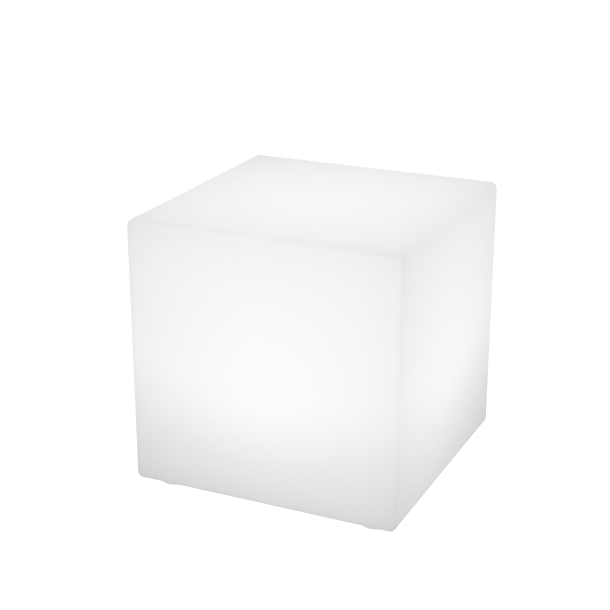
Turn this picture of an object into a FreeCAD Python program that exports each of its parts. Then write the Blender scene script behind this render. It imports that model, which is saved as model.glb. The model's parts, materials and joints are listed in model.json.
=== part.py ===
import FreeCAD, Part
import math
import os
from FreeCAD import Vector

# A cube light for the garden: a hollow translucent shell with four feet moulded into its
# underside, lit from inside by a round light module that is screwed into the bottom.
# Millimetres. +Z is up, the origin is on the ground under the middle of the cube, and the
# light stands on its feet. -Y is the side that faces left in the usual three-quarter view.

# ---------------------------------------------------------------- shell
SHELL_WIDTH = 400.0          # along X
SHELL_DEPTH = 400.0          # along Y
SHELL_HEIGHT = 389.0         # the box alone, without its feet
SHELL_WALL = 3.5
SHELL_EDGE_RADIUS = 10.0     # every outer edge of the box

FOOT_HEIGHT = 11.0
FOOT_INSET = 43.0            # from each side face to the foot's axis
FOOT_GROUND_RADIUS = 22.5
FOOT_ROOT_RADIUS = 26.0
FOOT_EDGE_RADIUS = 2.5       # round of the edge that meets the ground
FOOT_BLEND_RADIUS = 3.0      # hollow where the foot grows out of the underside

SEAT_DEPTH = 8.0             # recess in the underside that takes the module's flange
SEAT_RIM_RADIUS = 2.0        # round of the recess's outer rim

# ---------------------------------------------------------------- flange joint
FLANGE_SCREW_COUNT = 6
FLANGE_SCREW_RADIUS = 2.0
FLANGE_SCREW_LENGTH = 12.0
FLANGE_HEAD_RADIUS = 4.0
FLANGE_HEAD_HEIGHT = 2.4
FLANGE_HEAD_SINK = 1.0       # depth of the counterbore under each head
INSERT_RADIUS = 3.1
INSERT_LENGTH = 8.0
INSERT_BOSS_RADIUS = 6.0
INSERT_BOSS_CAP = 2.5        # plastic over the blind end of each insert hole
INSERT_RUN_OUT = 1.5         # free depth past the insert
FLANGE_THICKNESS = 3.5
FLANGE_GAP = 0.5             # radial gap between the flange and its recess
FLANGE_EDGE_RADIUS = 1.0
FLANGE_PAD_RADIUS = 5.5      # raised pads that stop the screws crushing the seal
FLANGE_RIM = 4.0             # from the pads to the edge of the recess
SEAL_THICKNESS = 2.0
SEAL_WIDTH = 2.8
SEAL_MARGIN = 1.0            # from the opening's edge to the seal
SEAL_PAD_GAP = 1.2           # from the seal to the pads

# ---------------------------------------------------------------- module tub and deck
TUB_GAP = 1.0                # radial gap between the tub and the opening
TUB_WALL = 3.0
TUB_CLEARANCE = 0.8          # from what the tub holds to its wall
DECK_THICKNESS = 3.0
DECK_LIP_DEPTH = 3.0
DECK_LIP_THICKNESS = 2.0
DECK_LIP_GAP = 0.3
DECK_SCREW_COUNT = 4
DECK_SCREW_RADIUS = 1.5
DECK_SCREW_LENGTH = 12.0
DECK_HEAD_RADIUS = 2.8
DECK_HEAD_HEIGHT = 1.8
DECK_BOSS_RADIUS = 4.5
DECK_BOSS_INSET = 3.5        # from the tub's inner wall to the screw axis
DECK_SEAL_WIDTH = 1.4
DECK_SEAL_HEIGHT = 1.0

# ---------------------------------------------------------------- light engine
LED_BOARD_THICKNESS = 1.6
LED_SCREW_COUNT = 3
LED_SCREW_INSET = 5.0        # from the light board's edge to its screws
LED_SCREW_RADIUS = 1.25
LED_SCREW_LENGTH = 4.0
LED_HEAD_RADIUS = 2.3
LED_HEAD_HEIGHT = 1.5
LED_INNER_COUNT = 6
LED_EDGE_INSET = 14.0        # from the board's edge to the outer circle of LEDs
LED_OUTER_COUNT = 12
LED_FIRST_ANGLE = 15.0       # degrees from +X
LED_SIZE = 5.0
LED_HEIGHT = 1.4
LED_LENS_RADIUS = 2.0
LED_LENS_DEPTH = 0.5
RECEIVER_WIDTH = 5.6
RECEIVER_DEPTH = 4.0
RECEIVER_HEIGHT = 6.5
RECEIVER_NOSE_INSET = 1.0    # from the body's top and bottom to its round nose
RECEIVER_LEG_SIZE = 0.5
RECEIVER_LEG_LENGTH = 2.5
RECEIVER_LEG_PITCH = 1.5
DOME_BASE_RADIUS = 50.0
DOME_RISE = 28.0
DOME_WALL = 2.0
DOME_FLANGE_THICKNESS = 2.5
DOME_SCREW_COUNT = 3
DOME_SCREW_REACH = 4.0       # from the dome's base to its screws
DOME_SCREW_EDGE = 4.0        # from its screws to the edge of its flange
DOME_DECK_GAP = 0.6          # from that edge to the heads of the deck's screws
DOME_SCREW_RADIUS = 1.25
DOME_SCREW_LENGTH = 5.0
DOME_HEAD_RADIUS = 2.4
DOME_HEAD_HEIGHT = 1.5
GROMMET_GAP = 1.4            # from the cable grommet to the dome's wall and to the light board
GROMMET_ANGLE = -40.0        # degrees from +X
GROMMET_BORE_RADIUS = 2.4
GROMMET_NECK_RADIUS = 3.4
GROMMET_LIP_RADIUS = 4.6
GROMMET_LIP_HEIGHT = 1.2

# ---------------------------------------------------------------- control pocket
POCKET_END_MARGIN = 3.7      # from the farthest fitting to the pocket's end
POCKET_SIDE_MARGIN = 4.5     # from the switch's bezel to the pocket's side
POCKET_CORNER_RADIUS = 9.0
POCKET_DEPTH = 6.0
POCKET_WALL = 3.0
PANEL_SEAL_THICKNESS = 0.8
PANEL_SEAL_INSET = 0.8       # from the bezel's edge to its seal
PANEL_HOLE_GAP = 0.2
THREAD_GAP = 0.05            # between a nut and the barrel that it runs on
NUT_HEIGHT = 3.0

SWITCH_BARREL_RADIUS = 8.0
SWITCH_BARREL_TOP = 14.3     # height of the barrel above the bezel's back
SWITCH_BEZEL_RADIUS = 10.5
BEZEL_THICKNESS = 1.8
BEZEL_EDGE_RADIUS = 0.6
BUTTON_RADIUS = 6.0
BUTTON_GAP = 0.15
BUTTON_PRESSED_PROUD = 0.8   # how far it still stands out of its bezel when pressed
BUTTON_EDGE_RADIUS = 0.8
BUTTON_DISH_DEPTH = 0.5
BUTTON_RIM = 1.2             # from the dish to the key's side
BUTTON_TRAVEL = 1.5
BUTTON_COLLAR_RADIUS = 6.9
BUTTON_COLLAR_HEIGHT = 1.5
BUTTON_STEM_RADIUS = 3.2
BUTTON_STEM_HEIGHT = 4.0
SWITCH_LIP_DEPTH = 3.0       # length of the bore that guides the button
SWITCH_CAVITY_RADIUS = 7.1
SWITCH_REAR_GAP = 0.05
SWITCH_REAR_PLUG = 2.0       # part of the rear block inside the barrel
SWITCH_REAR_FLANGE = 2.0     # part of the rear block behind the barrel
SPRING_COIL_RADIUS = 4.6
SPRING_WIRE_RADIUS = 0.4
SPRING_TURNS = 6
SWITCH_NUT_ACROSS = 20.0

SOCKET_X = -12.0
FINGER_GAP = 12.0            # between the flap's tab and the switch's bezel
SOCKET_BARREL_RADIUS = 5.5
SOCKET_BARREL_TOP = 14.3
SOCKET_BEZEL_RADIUS = 8.5
SOCKET_BORE_RADIUS = 2.85
SOCKET_BORE_DEPTH = 11.0
SOCKET_PIN_RADIUS = 1.05
SOCKET_PIN_RECESS = 2.5      # from the socket's mouth to the tip of its pin
SOCKET_NUT_ACROSS = 14.0

TERMINAL_WIDTH = 2.8
TERMINAL_THICKNESS = 0.6
TERMINAL_LENGTH = 7.0
TERMINAL_SPREAD = 5.0        # between the two terminals of a switch or socket

FLAP_RADIUS = 9.5
FLAP_THICKNESS = 2.0
FLAP_GAP = 0.1               # under the socket's bezel
FLAP_STRAP_WIDTH = 7.0
FLAP_STRAP_LENGTH = 6.5      # from the flap's disc to the hinge line
FLAP_STUB_GAP = 0.25
FLAP_STUB_LENGTH = 1.6       # stub above the flap's upper face
FLAP_STUB_ROUND = 0.4
FLAP_TAB_LENGTH = 4.0
FLAP_TAB_WIDTH = 6.0
FLAP_OPEN_ANGLE = 135.0
ANCHOR_GAP = 0.3             # between the flap's knuckle and its anchor
ANCHOR_SLANT_GAP = 0.1       # between the anchor's slanted edge and the open flap
ANCHOR_LENGTH = 9.0
ANCHOR_STUD_RADIUS = 1.8
ANCHOR_HEAD_RADIUS = 3.2
ANCHOR_HEAD_HEIGHT = 1.5
ANCHOR_STUD_SHIFT = 1.0      # from the pad's middle, away from the hinge

# ---------------------------------------------------------------- battery and control board
CELL_RADIUS = 9.15
CELL_LENGTH = 65.0
CELL_SPACING = 0.3           # between the two cells
CELL_POCKET_GAP = 2.25       # from the pocket's outer wall to the first cell
CELL_FLOOR_GAP = 1.0
CELL_RIB_X = 20.0
CELL_RIB_THICKNESS = 3.0
CELL_RIB_HEIGHT = 7.0
CELL_RIB_INSET = 1.0         # from the cells' outer sides to the ends of the ribs
CELL_GAP = 0.2
TAB_THICKNESS = 0.3
TAB_WIDTH = 8.0
PAD_THICKNESS = 2.0
PAD_LENGTH = 56.0
CLAMP_END = 5.5              # from the clamp's screws to its ends
CLAMP_WIDTH = 25.0
CLAMP_THICKNESS = 3.0
CLAMP_CORNER_RADIUS = 8.0
CLAMP_POST_REACH = 10.5      # from the cells' ends to the clamp's screws
CLAMP_POST_RADIUS = 4.0
CLAMP_SCREW_RADIUS = 1.5
CLAMP_SCREW_LENGTH = 10.0
CLAMP_HEAD_RADIUS = 2.8
CLAMP_HEAD_HEIGHT = 1.8

BOARD_LENGTH = 76.0
BOARD_WIDTH = 34.0
BOARD_THICKNESS = 1.6
BOARD_CORNER_RADIUS = 2.0
BOARD_POCKET_GAP = 2.0       # from the pocket's outer wall to the board
BOARD_STANDOFF = 8.0
BOARD_STANDOFF_RADIUS = 3.0
BOARD_HOLE_INSET = 4.0
BOARD_SCREW_RADIUS = 1.25
BOARD_SCREW_LENGTH = 6.0
BOARD_HEAD_RADIUS = 2.3
BOARD_HEAD_HEIGHT = 1.5
CONNECTOR_LENGTH = 8.0
CONNECTOR_WIDTH = 5.5
CONNECTOR_HEIGHT = 6.0
CONNECTOR_EDGE_GAP = 0.5     # from the board's edge to the row of connectors
CONNECTOR_SCREW_GAP = 0.7    # from the end connectors to the board's screw heads
CONNECTOR_NAMES = ("battery", "socket", "switch", "led")   # in order along +X
CHIP_SIZE = 7.0
CHIP_HEIGHT = 1.2
CHIP_ROW_SHIFT = 1.0         # from the board's middle line towards its far edge
DRIVER_SIZE = 4.0
DRIVER_HEIGHT = 1.6
DRIVER_NEAR_X = 14.0
DRIVER_FAR_X = 21.0
CAPACITOR_RADIUS = 4.0
CAPACITOR_HEIGHT = 9.0
CAPACITOR_X = 12.0
COIL_SIZE = 7.0
COIL_HEIGHT = 4.5
COIL_CORNER_RADIUS = 1.2
FAR_EDGE_GAP = 1.5           # from the board's far edge to the capacitors and the choke

LEAD_RADIUS = 0.75
LEAD_PITCH = 2.4             # between the two wires of a pair at a connector
LEAD_RISE = 9.0              # how far the switch and socket leads climb before they bend over
LEAD_SHOULDER = 3.0          # height over which they bend
LEAD_HEADROOM = 10.25        # over the highest of them
LEAD_LANE = 3.7              # from the cells' end tabs to the battery leads
LED_LEAD_CREST = 5.0         # height of the LED leads' top over their board
LED_LEAD_MARGIN = 3.0        # from the board's edge to the pads of those leads

# ---------------------------------------------------------------- fits
PILOT_RATIO = 0.8            # pilot hole over screw radius, for screws that cut their own thread
SCREW_GAP = 0.25             # radial gap of a screw in its clearance hole
SEAT_FIT = 0.03              # radial room round a piece that is pressed or moulded in
SCREW_SLOT_WIDTH = 0.7
SCREW_SLOT_SHARE = 0.62      # reach of the cross recess over the head's radius
SCREW_SLOT_DEPTH = 0.55      # depth of the cross recess over the head's height
SCREW_ROUND_SHARE = 0.4      # round of the head's edge over its height
BEND_SHARE = 0.45            # of a wire's shorter run that each of its bends may use
THROUGH = 1.0                # how far a cut runs on past the face that it opens

# ---------------------------------------------------------------- places worked out from the sizes above
def spread(half, count):
    """Positions evenly spaced from -half to +half."""
    return [half * (2 * i / (count - 1) - 1) for i in range(count)]


switch_x = SOCKET_X + FLAP_RADIUS + FLAP_TAB_LENGTH + FINGER_GAP + SWITCH_BEZEL_RADIUS
hinge_x = SOCKET_X - FLAP_RADIUS - FLAP_STRAP_LENGTH
anchor_near_x = hinge_x - FLAP_THICKNESS / 2 - ANCHOR_GAP
anchor_far_x = anchor_near_x - ANCHOR_LENGTH
pocket_length = 2 * (max(switch_x + SWITCH_BEZEL_RADIUS, -anchor_far_x) + POCKET_END_MARGIN)
pocket_width = 2 * (SWITCH_BEZEL_RADIUS + POCKET_SIDE_MARGIN)
pocket_side = pocket_width / 2 + POCKET_WALL          # outer face of the pocket's long wall

first_cell_y = pocket_side + CELL_POCKET_GAP + CELL_RADIUS
cell_ys = (first_cell_y, first_cell_y + 2 * CELL_RADIUS + CELL_SPACING)
pack_y = sum(cell_ys) / 2
clamp_post_x = CELL_LENGTH / 2 + CLAMP_POST_REACH
clamp_length = 2 * (clamp_post_x + CLAMP_END)
board_centre_y = -(pocket_side + BOARD_POCKET_GAP + BOARD_WIDTH / 2)
board_edge_y = board_centre_y - BOARD_WIDTH / 2       # the edge that is farthest from the pocket
connector_reach = (BOARD_LENGTH / 2 - BOARD_HOLE_INSET - BOARD_HEAD_RADIUS
                   - CONNECTOR_SCREW_GAP - CONNECTOR_LENGTH / 2)
connector_xs = dict(zip(CONNECTOR_NAMES, spread(connector_reach, len(CONNECTOR_NAMES))))
connector_face = board_centre_y + BOARD_WIDTH / 2 - CONNECTOR_EDGE_GAP
connector_y = connector_face - CONNECTOR_WIDTH / 2

# The dome, the grommet inside it and the light board inside that follow one another inwards.
dome_screw_circle = DOME_BASE_RADIUS + DOME_SCREW_REACH
dome_flange_radius = dome_screw_circle + DOME_SCREW_EDGE
grommet_circle = DOME_BASE_RADIUS - DOME_WALL - GROMMET_GAP - GROMMET_LIP_RADIUS
led_board_radius = grommet_circle - GROMMET_LIP_RADIUS - GROMMET_GAP
led_screw_circle = led_board_radius - LED_SCREW_INSET
led_outer_circle = led_board_radius - LED_EDGE_INSET
led_inner_circle = led_outer_circle / 2

# The tub is as wide as the farthest thing in it or on it needs, and all round it follows.
clamp_corner_reach = CLAMP_CORNER_RADIUS + math.hypot(
    clamp_length / 2 - CLAMP_CORNER_RADIUS,
    pack_y + CLAMP_WIDTH / 2 - CLAMP_CORNER_RADIUS)
cell_corner_reach = math.hypot(CELL_LENGTH / 2 + TAB_THICKNESS, cell_ys[1] + CELL_RADIUS)
board_corner_reach = math.hypot(BOARD_LENGTH / 2, board_edge_y)
boss_reach = cell_ys[1] + CELL_RADIUS + DECK_BOSS_RADIUS + DECK_BOSS_INSET
dome_reach = dome_flange_radius + DOME_DECK_GAP + DECK_HEAD_RADIUS + DECK_BOSS_INSET
tub_inner = TUB_CLEARANCE + max(clamp_corner_reach, cell_corner_reach,
                                board_corner_reach, boss_reach, dome_reach)
tub_outer = tub_inner + TUB_WALL
opening_radius = tub_outer + TUB_GAP                  # hole in the shell for the tub
flange_screw_circle = (opening_radius + SEAL_MARGIN + SEAL_WIDTH + SEAL_PAD_GAP
                       + FLANGE_PAD_RADIUS)
seat_radius = flange_screw_circle + FLANGE_PAD_RADIUS + FLANGE_RIM
flange_radius = seat_radius - FLANGE_GAP
deck_screw_circle = tub_inner - DECK_BOSS_INSET

shell_low = FOOT_HEIGHT
shell_high = FOOT_HEIGHT + SHELL_HEIGHT
seat_level = shell_low + SEAT_DEPTH                   # underside of the ledge
flange_top = seat_level - SEAL_THICKNESS
flange_low = flange_top - FLANGE_THICKNESS
panel_low = flange_low + POCKET_DEPTH
panel_top = panel_low + POCKET_WALL
bezel_back = panel_low - PANEL_SEAL_THICKNESS
bezel_front = bezel_back - BEZEL_THICKNESS
flap_top = bezel_front - FLAP_GAP
flap_low = flap_top - FLAP_THICKNESS
hinge_z = flap_low + FLAP_THICKNESS / 2
cell_z = flange_top + CELL_FLOOR_GAP + CELL_RADIUS
pad_low = cell_z + CELL_RADIUS
clamp_low = pad_low + PAD_THICKNESS
board_low = flange_top + BOARD_STANDOFF
board_top = board_low + BOARD_THICKNESS
connector_top = board_top + CONNECTOR_HEIGHT
switch_lead_low = bezel_back + SWITCH_BARREL_TOP + SWITCH_REAR_FLANGE + TERMINAL_LENGTH
socket_lead_low = bezel_back + SOCKET_BARREL_TOP + TERMINAL_LENGTH
lead_crest = max(switch_lead_low, socket_lead_low) + LEAD_RISE + LEAD_RADIUS
tub_top = lead_crest + LEAD_HEADROOM + DECK_LIP_DEPTH
deck_top = tub_top + DECK_THICKNESS
led_board_top = deck_top + LED_BOARD_THICKNESS


# ---------------------------------------------------------------- shapes
def cylinder(radius, low, high, x=0.0, y=0.0):
    return Part.makeCylinder(radius, high - low, Vector(x, y, low))


def ring(outer, inner, low, high, x=0.0, y=0.0):
    return cylinder(outer, low, high, x, y).cut(cylinder(inner, low, high, x, y))


def block(x_low, x_high, y_low, y_high, low, high):
    return Part.makeBox(x_high - x_low, y_high - y_low, high - low, Vector(x_low, y_low, low))


def centred_block(length, width, low, high, x=0.0, y=0.0):
    return block(x - length / 2, x + length / 2, y - width / 2, y + width / 2, low, high)


def upright(edge):
    """Whether an edge runs straight up."""
    box = edge.BoundBox
    return box.XLength < 1e-6 and box.YLength < 1e-6


def rounded_block(length, width, low, high, radius, x=0.0, y=0.0):
    """A block with its four upright edges rounded."""
    shape = centred_block(length, width, low, high, x, y)
    return shape.makeFillet(radius, [e for e in shape.Edges if upright(e)])


def hexagon(across_flats, low, high, x=0.0, y=0.0):
    reach = across_flats / math.sqrt(3)
    corners = [Vector(x + reach * math.cos(math.radians(60 * i)),
                      y + reach * math.sin(math.radians(60 * i)), low) for i in range(6)]
    face = Part.Face(Part.makePolygon(corners + corners[:1]))
    return face.extrude(Vector(0, 0, high - low))


def on_circle(radius, count, start=0.0):
    """Points evenly spaced on a circle about the Z axis, the first at `start` degrees."""
    angles = [math.radians(start + 360.0 * i / count) for i in range(count)]
    return [(radius * math.cos(a), radius * math.sin(a)) for a in angles]


def circles_at(shape, level, radius):
    """The full circles among a shape's edges that lie level, at that height and radius."""
    found = []
    for edge in shape.Edges:
        box = edge.BoundBox
        level_edge = box.ZLength < 1e-3 and abs(box.Center.z - level) < 1e-3
        if level_edge and edge.isClosed() and abs(box.XLength - 2 * radius) < 1e-2:
            found.append(edge)
    return found


def joined(shapes):
    whole = shapes[0].multiFuse(shapes[1:])
    return whole.removeSplitter()


def screw(x, y, seat, shank_radius, shank_length, head_radius, head_height, head_down=False):
    """A pan-head screw with a cross recess. Its head sits on the level `seat`."""
    way = -1 if head_down else 1
    if head_down:
        head = cylinder(head_radius, seat - head_height, seat, x, y)
        shank = cylinder(shank_radius, seat, seat + shank_length, x, y)
    else:
        head = cylinder(head_radius, seat, seat + head_height, x, y)
        shank = cylinder(shank_radius, seat - shank_length, seat, x, y)
    outer_face = seat + way * head_height
    head = head.makeFillet(head_height * SCREW_ROUND_SHARE, circles_at(head, outer_face, head_radius))
    reach = 2 * head_radius * SCREW_SLOT_SHARE
    floor = outer_face - way * head_height * SCREW_SLOT_DEPTH
    low, high = sorted((outer_face, floor))
    head = head.cut(centred_block(reach, SCREW_SLOT_WIDTH, low, high, x, y))
    head = head.cut(centred_block(SCREW_SLOT_WIDTH, reach, low, high, x, y))
    return joined([head, shank])


def lead(points, radius=LEAD_RADIUS):
    """A round wire along straight runs, joined by tangent arcs as large as the runs allow."""
    corners = [Vector(*p) for p in points]
    edges, at, tightest = [], corners[0], None
    for before, corner, after in zip(corners, corners[1:], corners[2:]):
        run_in, run_out = corner - before, after - corner
        turn = run_in.getAngle(run_out)
        shorter = min(run_in.Length, run_out.Length)
        bend = BEND_SHARE * shorter / math.tan(turn / 2)
        tightest = bend if tightest is None else min(tightest, bend)
        trim = bend * math.tan(turn / 2)
        start = corner - run_in.normalize() * trim
        end = corner + run_out.normalize() * trim
        chord = (start + end) / 2
        inward = (chord - corner).normalize()
        middle = corner + inward * (bend / math.cos(turn / 2) - bend)
        edges.append(Part.LineSegment(at, start).toShape())
        edges.append(Part.Arc(start, middle, end).toShape())
        at = end
    edges.append(Part.LineSegment(at, corners[-1]).toShape())
    path = Part.Wire(edges)
    along = corners[1] - corners[0]
    section = Part.Wire([Part.makeCircle(radius, corners[0], along)])
    tube = path.makePipeShell([section], True, False)
    expected = math.pi * radius ** 2 * path.Length
    print(f"  lead {path.Length:.1f} mm, tightest bend {tightest:.1f} mm, "
          f"volume over section times length {tube.Volume / expected:.4f}")
    return tube


def save(name, *solids):
    shape = solids[0] if len(solids) == 1 else Part.makeCompound(list(solids))
    for solid in shape.Solids:
        if not solid.isValid() or solid.Volume <= 0:
            raise ValueError(name + " has a bad solid")
    if not shape.Solids:
        raise ValueError(name + " has no solid")
    shape.exportStep("parts/" + name + ".step")
    print(f"{name}: {len(shape.Solids)} solid(s), {shape.Volume / 1000:.2f} cm3")


# ---------------------------------------------------------------- the shell
def foot_places():
    x = SHELL_WIDTH / 2 - FOOT_INSET
    y = SHELL_DEPTH / 2 - FOOT_INSET
    return [(sx * x, sy * y) for sx in (-1, 1) for sy in (-1, 1)]


def insert_places():
    return on_circle(flange_screw_circle, FLANGE_SCREW_COUNT, 90.0)


def cube_shell():
    """The moulded cube: one even wall, hollow feet, and a stepped seat for the light module."""
    box = centred_block(SHELL_WIDTH, SHELL_DEPTH, shell_low, shell_high)
    box = box.makeFillet(SHELL_EDGE_RADIUS, box.Edges)
    feet = [Part.makeCone(FOOT_GROUND_RADIUS, FOOT_ROOT_RADIUS, FOOT_HEIGHT, Vector(x, y, 0))
            for x, y in foot_places()]
    body = joined([box] + feet)
    body = body.makeFillet(FOOT_BLEND_RADIUS, circles_at(body, shell_low, FOOT_ROOT_RADIUS))
    body = body.makeFillet(FOOT_EDGE_RADIUS, circles_at(body, 0.0, FOOT_GROUND_RADIUS))

    inside_low = shell_low + SHELL_WALL
    inside = centred_block(SHELL_WIDTH - 2 * SHELL_WALL, SHELL_DEPTH - 2 * SHELL_WALL,
                           inside_low, shell_high - SHELL_WALL)
    inside = inside.makeFillet(SHELL_EDGE_RADIUS - SHELL_WALL, inside.Edges)
    hollows = [Part.makeCone(FOOT_GROUND_RADIUS - SHELL_WALL, FOOT_ROOT_RADIUS - SHELL_WALL,
                             FOOT_HEIGHT + THROUGH, Vector(x, y, SHELL_WALL))
               for x, y in foot_places()]
    ledge_top = seat_level + SHELL_WALL
    boss_top = seat_level + INSERT_LENGTH + INSERT_RUN_OUT + INSERT_BOSS_CAP
    kept = [cylinder(seat_radius + SHELL_WALL, shell_low, ledge_top)]
    kept += [cylinder(INSERT_BOSS_RADIUS, seat_level, boss_top, x, y) for x, y in insert_places()]
    inside = joined([inside] + hollows).cut(joined(kept))

    shell = body.cut(inside)
    shell = shell.cut(cylinder(seat_radius, shell_low - THROUGH, seat_level))
    shell = shell.cut(cylinder(opening_radius, shell_low - THROUGH, ledge_top + THROUGH))
    for x, y in insert_places():
        shell = shell.cut(cylinder(INSERT_RADIUS + SEAT_FIT, seat_level - THROUGH,
                                   seat_level + INSERT_LENGTH + INSERT_RUN_OUT, x, y))
    return shell.makeFillet(SEAT_RIM_RADIUS, circles_at(shell, shell_low, seat_radius))


def threaded_inserts():
    return [ring(INSERT_RADIUS, FLANGE_SCREW_RADIUS + SEAT_FIT, seat_level,
                 seat_level + INSERT_LENGTH, x, y) for x, y in insert_places()]


def flange_seal():
    inner = opening_radius + SEAL_MARGIN
    return ring(inner + SEAL_WIDTH, inner, flange_top, seat_level)


# ---------------------------------------------------------------- the module's tub
def deck_screw_places():
    return on_circle(deck_screw_circle, DECK_SCREW_COUNT)


def board_screw_places():
    x = BOARD_LENGTH / 2 - BOARD_HOLE_INSET
    y = BOARD_WIDTH / 2 - BOARD_HOLE_INSET
    return [(sx * x, board_centre_y + sy * y) for sx in (-1, 1) for sy in (-1, 1)]


def cell_cylinder(radius, y, length=CELL_LENGTH):
    return Part.makeCylinder(radius, length, Vector(-length / 2, y, cell_z), Vector(1, 0, 0))


def post(radius, top, screw_radius, screw_depth, x, y):
    """A screw post on the tub's floor, with its pilot hole."""
    pilot = cylinder(screw_radius * PILOT_RATIO, top - screw_depth, top, x, y)
    return cylinder(radius, flange_low, top, x, y), pilot


def module_base():
    """The tub that hangs in the shell's opening: flange, wall, control pocket and posts."""
    flange = cylinder(flange_radius, flange_low, flange_top)
    flange = flange.makeFillet(FLANGE_EDGE_RADIUS, circles_at(flange, flange_low, flange_radius))
    wall = ring(tub_outer, tub_inner, flange_top, tub_top)
    pads = [cylinder(FLANGE_PAD_RADIUS, flange_top, seat_level, x, y) for x, y in insert_places()]
    island = rounded_block(pocket_length + 2 * POCKET_WALL, pocket_width + 2 * POCKET_WALL,
                           flange_low, panel_top, POCKET_CORNER_RADIUS + POCKET_WALL)
    posts, pilots = [], []
    spots = [(DECK_BOSS_RADIUS, tub_top, DECK_SCREW_RADIUS, DECK_SCREW_LENGTH, x, y)
             for x, y in deck_screw_places()]
    spots += [(BOARD_STANDOFF_RADIUS, board_low, BOARD_SCREW_RADIUS, BOARD_SCREW_LENGTH, x, y)
              for x, y in board_screw_places()]
    spots += [(CLAMP_POST_RADIUS, clamp_low, CLAMP_SCREW_RADIUS, CLAMP_SCREW_LENGTH, x, pack_y)
              for x in (-clamp_post_x, clamp_post_x)]
    for spot in spots:
        solid, pilot = post(*spot)
        posts.append(solid)
        pilots.append(pilot)
    rib_low = cell_ys[0] - CELL_RADIUS + CELL_RIB_INSET
    rib_high = cell_ys[1] + CELL_RADIUS - CELL_RIB_INSET
    ribs = [block(x - CELL_RIB_THICKNESS / 2, x + CELL_RIB_THICKNESS / 2, rib_low, rib_high,
                  flange_low, flange_top + CELL_RIB_HEIGHT)
            for x in (-CELL_RIB_X, CELL_RIB_X)]
    base = joined([flange, wall, island] + pads + posts + ribs)

    pocket = rounded_block(pocket_length, pocket_width, flange_low - THROUGH, panel_low,
                           POCKET_CORNER_RADIUS)
    cuts = [pocket] + pilots
    cuts += [cell_cylinder(CELL_RADIUS + CELL_GAP, y) for y in cell_ys]
    cuts += [cylinder(SWITCH_BARREL_RADIUS + PANEL_HOLE_GAP, panel_low, panel_top, switch_x),
             cylinder(SOCKET_BARREL_RADIUS + PANEL_HOLE_GAP, panel_low, panel_top, SOCKET_X),
             cylinder(ANCHOR_STUD_RADIUS + SEAT_FIT, panel_low, panel_top, anchor_stud_x())]
    for x, y in insert_places():
        cuts.append(cylinder(FLANGE_SCREW_RADIUS + SCREW_GAP, flange_low, seat_level, x, y))
        cuts.append(cylinder(FLANGE_HEAD_RADIUS + SCREW_GAP, flange_low,
                             flange_low + FLANGE_HEAD_SINK, x, y))
    return base.cut(cuts).removeSplitter()


def flange_screws():
    return [screw(x, y, flange_low + FLANGE_HEAD_SINK, FLANGE_SCREW_RADIUS, FLANGE_SCREW_LENGTH,
                  FLANGE_HEAD_RADIUS, FLANGE_HEAD_HEIGHT, head_down=True)
            for x, y in insert_places()]


# ---------------------------------------------------------------- the deck and the light engine
def dome_screw_places():
    return on_circle(dome_screw_circle, DOME_SCREW_COUNT, 90.0)


def led_screw_places():
    return on_circle(led_screw_circle, LED_SCREW_COUNT, 90.0)


def grommet_place():
    angle = math.radians(GROMMET_ANGLE)
    return grommet_circle * math.cos(angle), grommet_circle * math.sin(angle)


def seal_groove(grow=0.0):
    middle = tub_outer - TUB_WALL / 2
    half = DECK_SEAL_WIDTH / 2 + grow
    return ring(middle + half, middle - half, tub_top, tub_top + DECK_SEAL_HEIGHT)


def led_deck():
    """The lid of the tub. It carries the light board, and its lip centres it in the tub."""
    plate = cylinder(tub_outer, tub_top, deck_top)
    lip_outer = tub_inner - DECK_LIP_GAP
    lip = ring(lip_outer, lip_outer - DECK_LIP_THICKNESS, tub_top - DECK_LIP_DEPTH, tub_top)
    for x, y in deck_screw_places():
        lip = lip.cut(cylinder(DECK_BOSS_RADIUS + DECK_LIP_GAP, tub_top - DECK_LIP_DEPTH,
                               tub_top, x, y))
    deck = joined([plate, lip])
    cuts = [seal_groove(SEAT_FIT)]
    cuts += [cylinder(DECK_SCREW_RADIUS + SCREW_GAP, tub_top, deck_top, x, y)
             for x, y in deck_screw_places()]
    cuts += [cylinder(DOME_SCREW_RADIUS * PILOT_RATIO, tub_top, deck_top, x, y)
             for x, y in dome_screw_places()]
    cuts += [cylinder(LED_SCREW_RADIUS * PILOT_RATIO, tub_top, deck_top, x, y)
             for x, y in led_screw_places()]
    cuts.append(cylinder(GROMMET_NECK_RADIUS + SEAT_FIT, tub_top, deck_top, *grommet_place()))
    return deck.cut(cuts)


def deck_screws():
    return [screw(x, y, deck_top, DECK_SCREW_RADIUS * PILOT_RATIO - SEAT_FIT, DECK_SCREW_LENGTH,
                  DECK_HEAD_RADIUS, DECK_HEAD_HEIGHT) for x, y in deck_screw_places()]


def led_board():
    board = cylinder(led_board_radius, deck_top, led_board_top)
    return board.cut([cylinder(LED_SCREW_RADIUS + SCREW_GAP, deck_top, led_board_top, x, y)
                      for x, y in led_screw_places()])


def led_board_screws():
    return [screw(x, y, led_board_top, LED_SCREW_RADIUS * PILOT_RATIO - SEAT_FIT,
                  LED_SCREW_LENGTH, LED_HEAD_RADIUS, LED_HEAD_HEIGHT)
            for x, y in led_screw_places()]


def led_places():
    inner = on_circle(led_inner_circle, LED_INNER_COUNT, LED_FIRST_ANGLE)
    return inner + on_circle(led_outer_circle, LED_OUTER_COUNT, LED_FIRST_ANGLE)


def led_packages():
    top = led_board_top + LED_HEIGHT
    return [centred_block(LED_SIZE, LED_SIZE, led_board_top, top, x, y)
            .cut(cylinder(LED_LENS_RADIUS, top - LED_LENS_DEPTH, top, x, y))
            for x, y in led_places()]


def led_lenses():
    top = led_board_top + LED_HEIGHT
    return [cylinder(LED_LENS_RADIUS - SEAT_FIT, top - LED_LENS_DEPTH, top, x, y)
            for x, y in led_places()]


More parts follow.
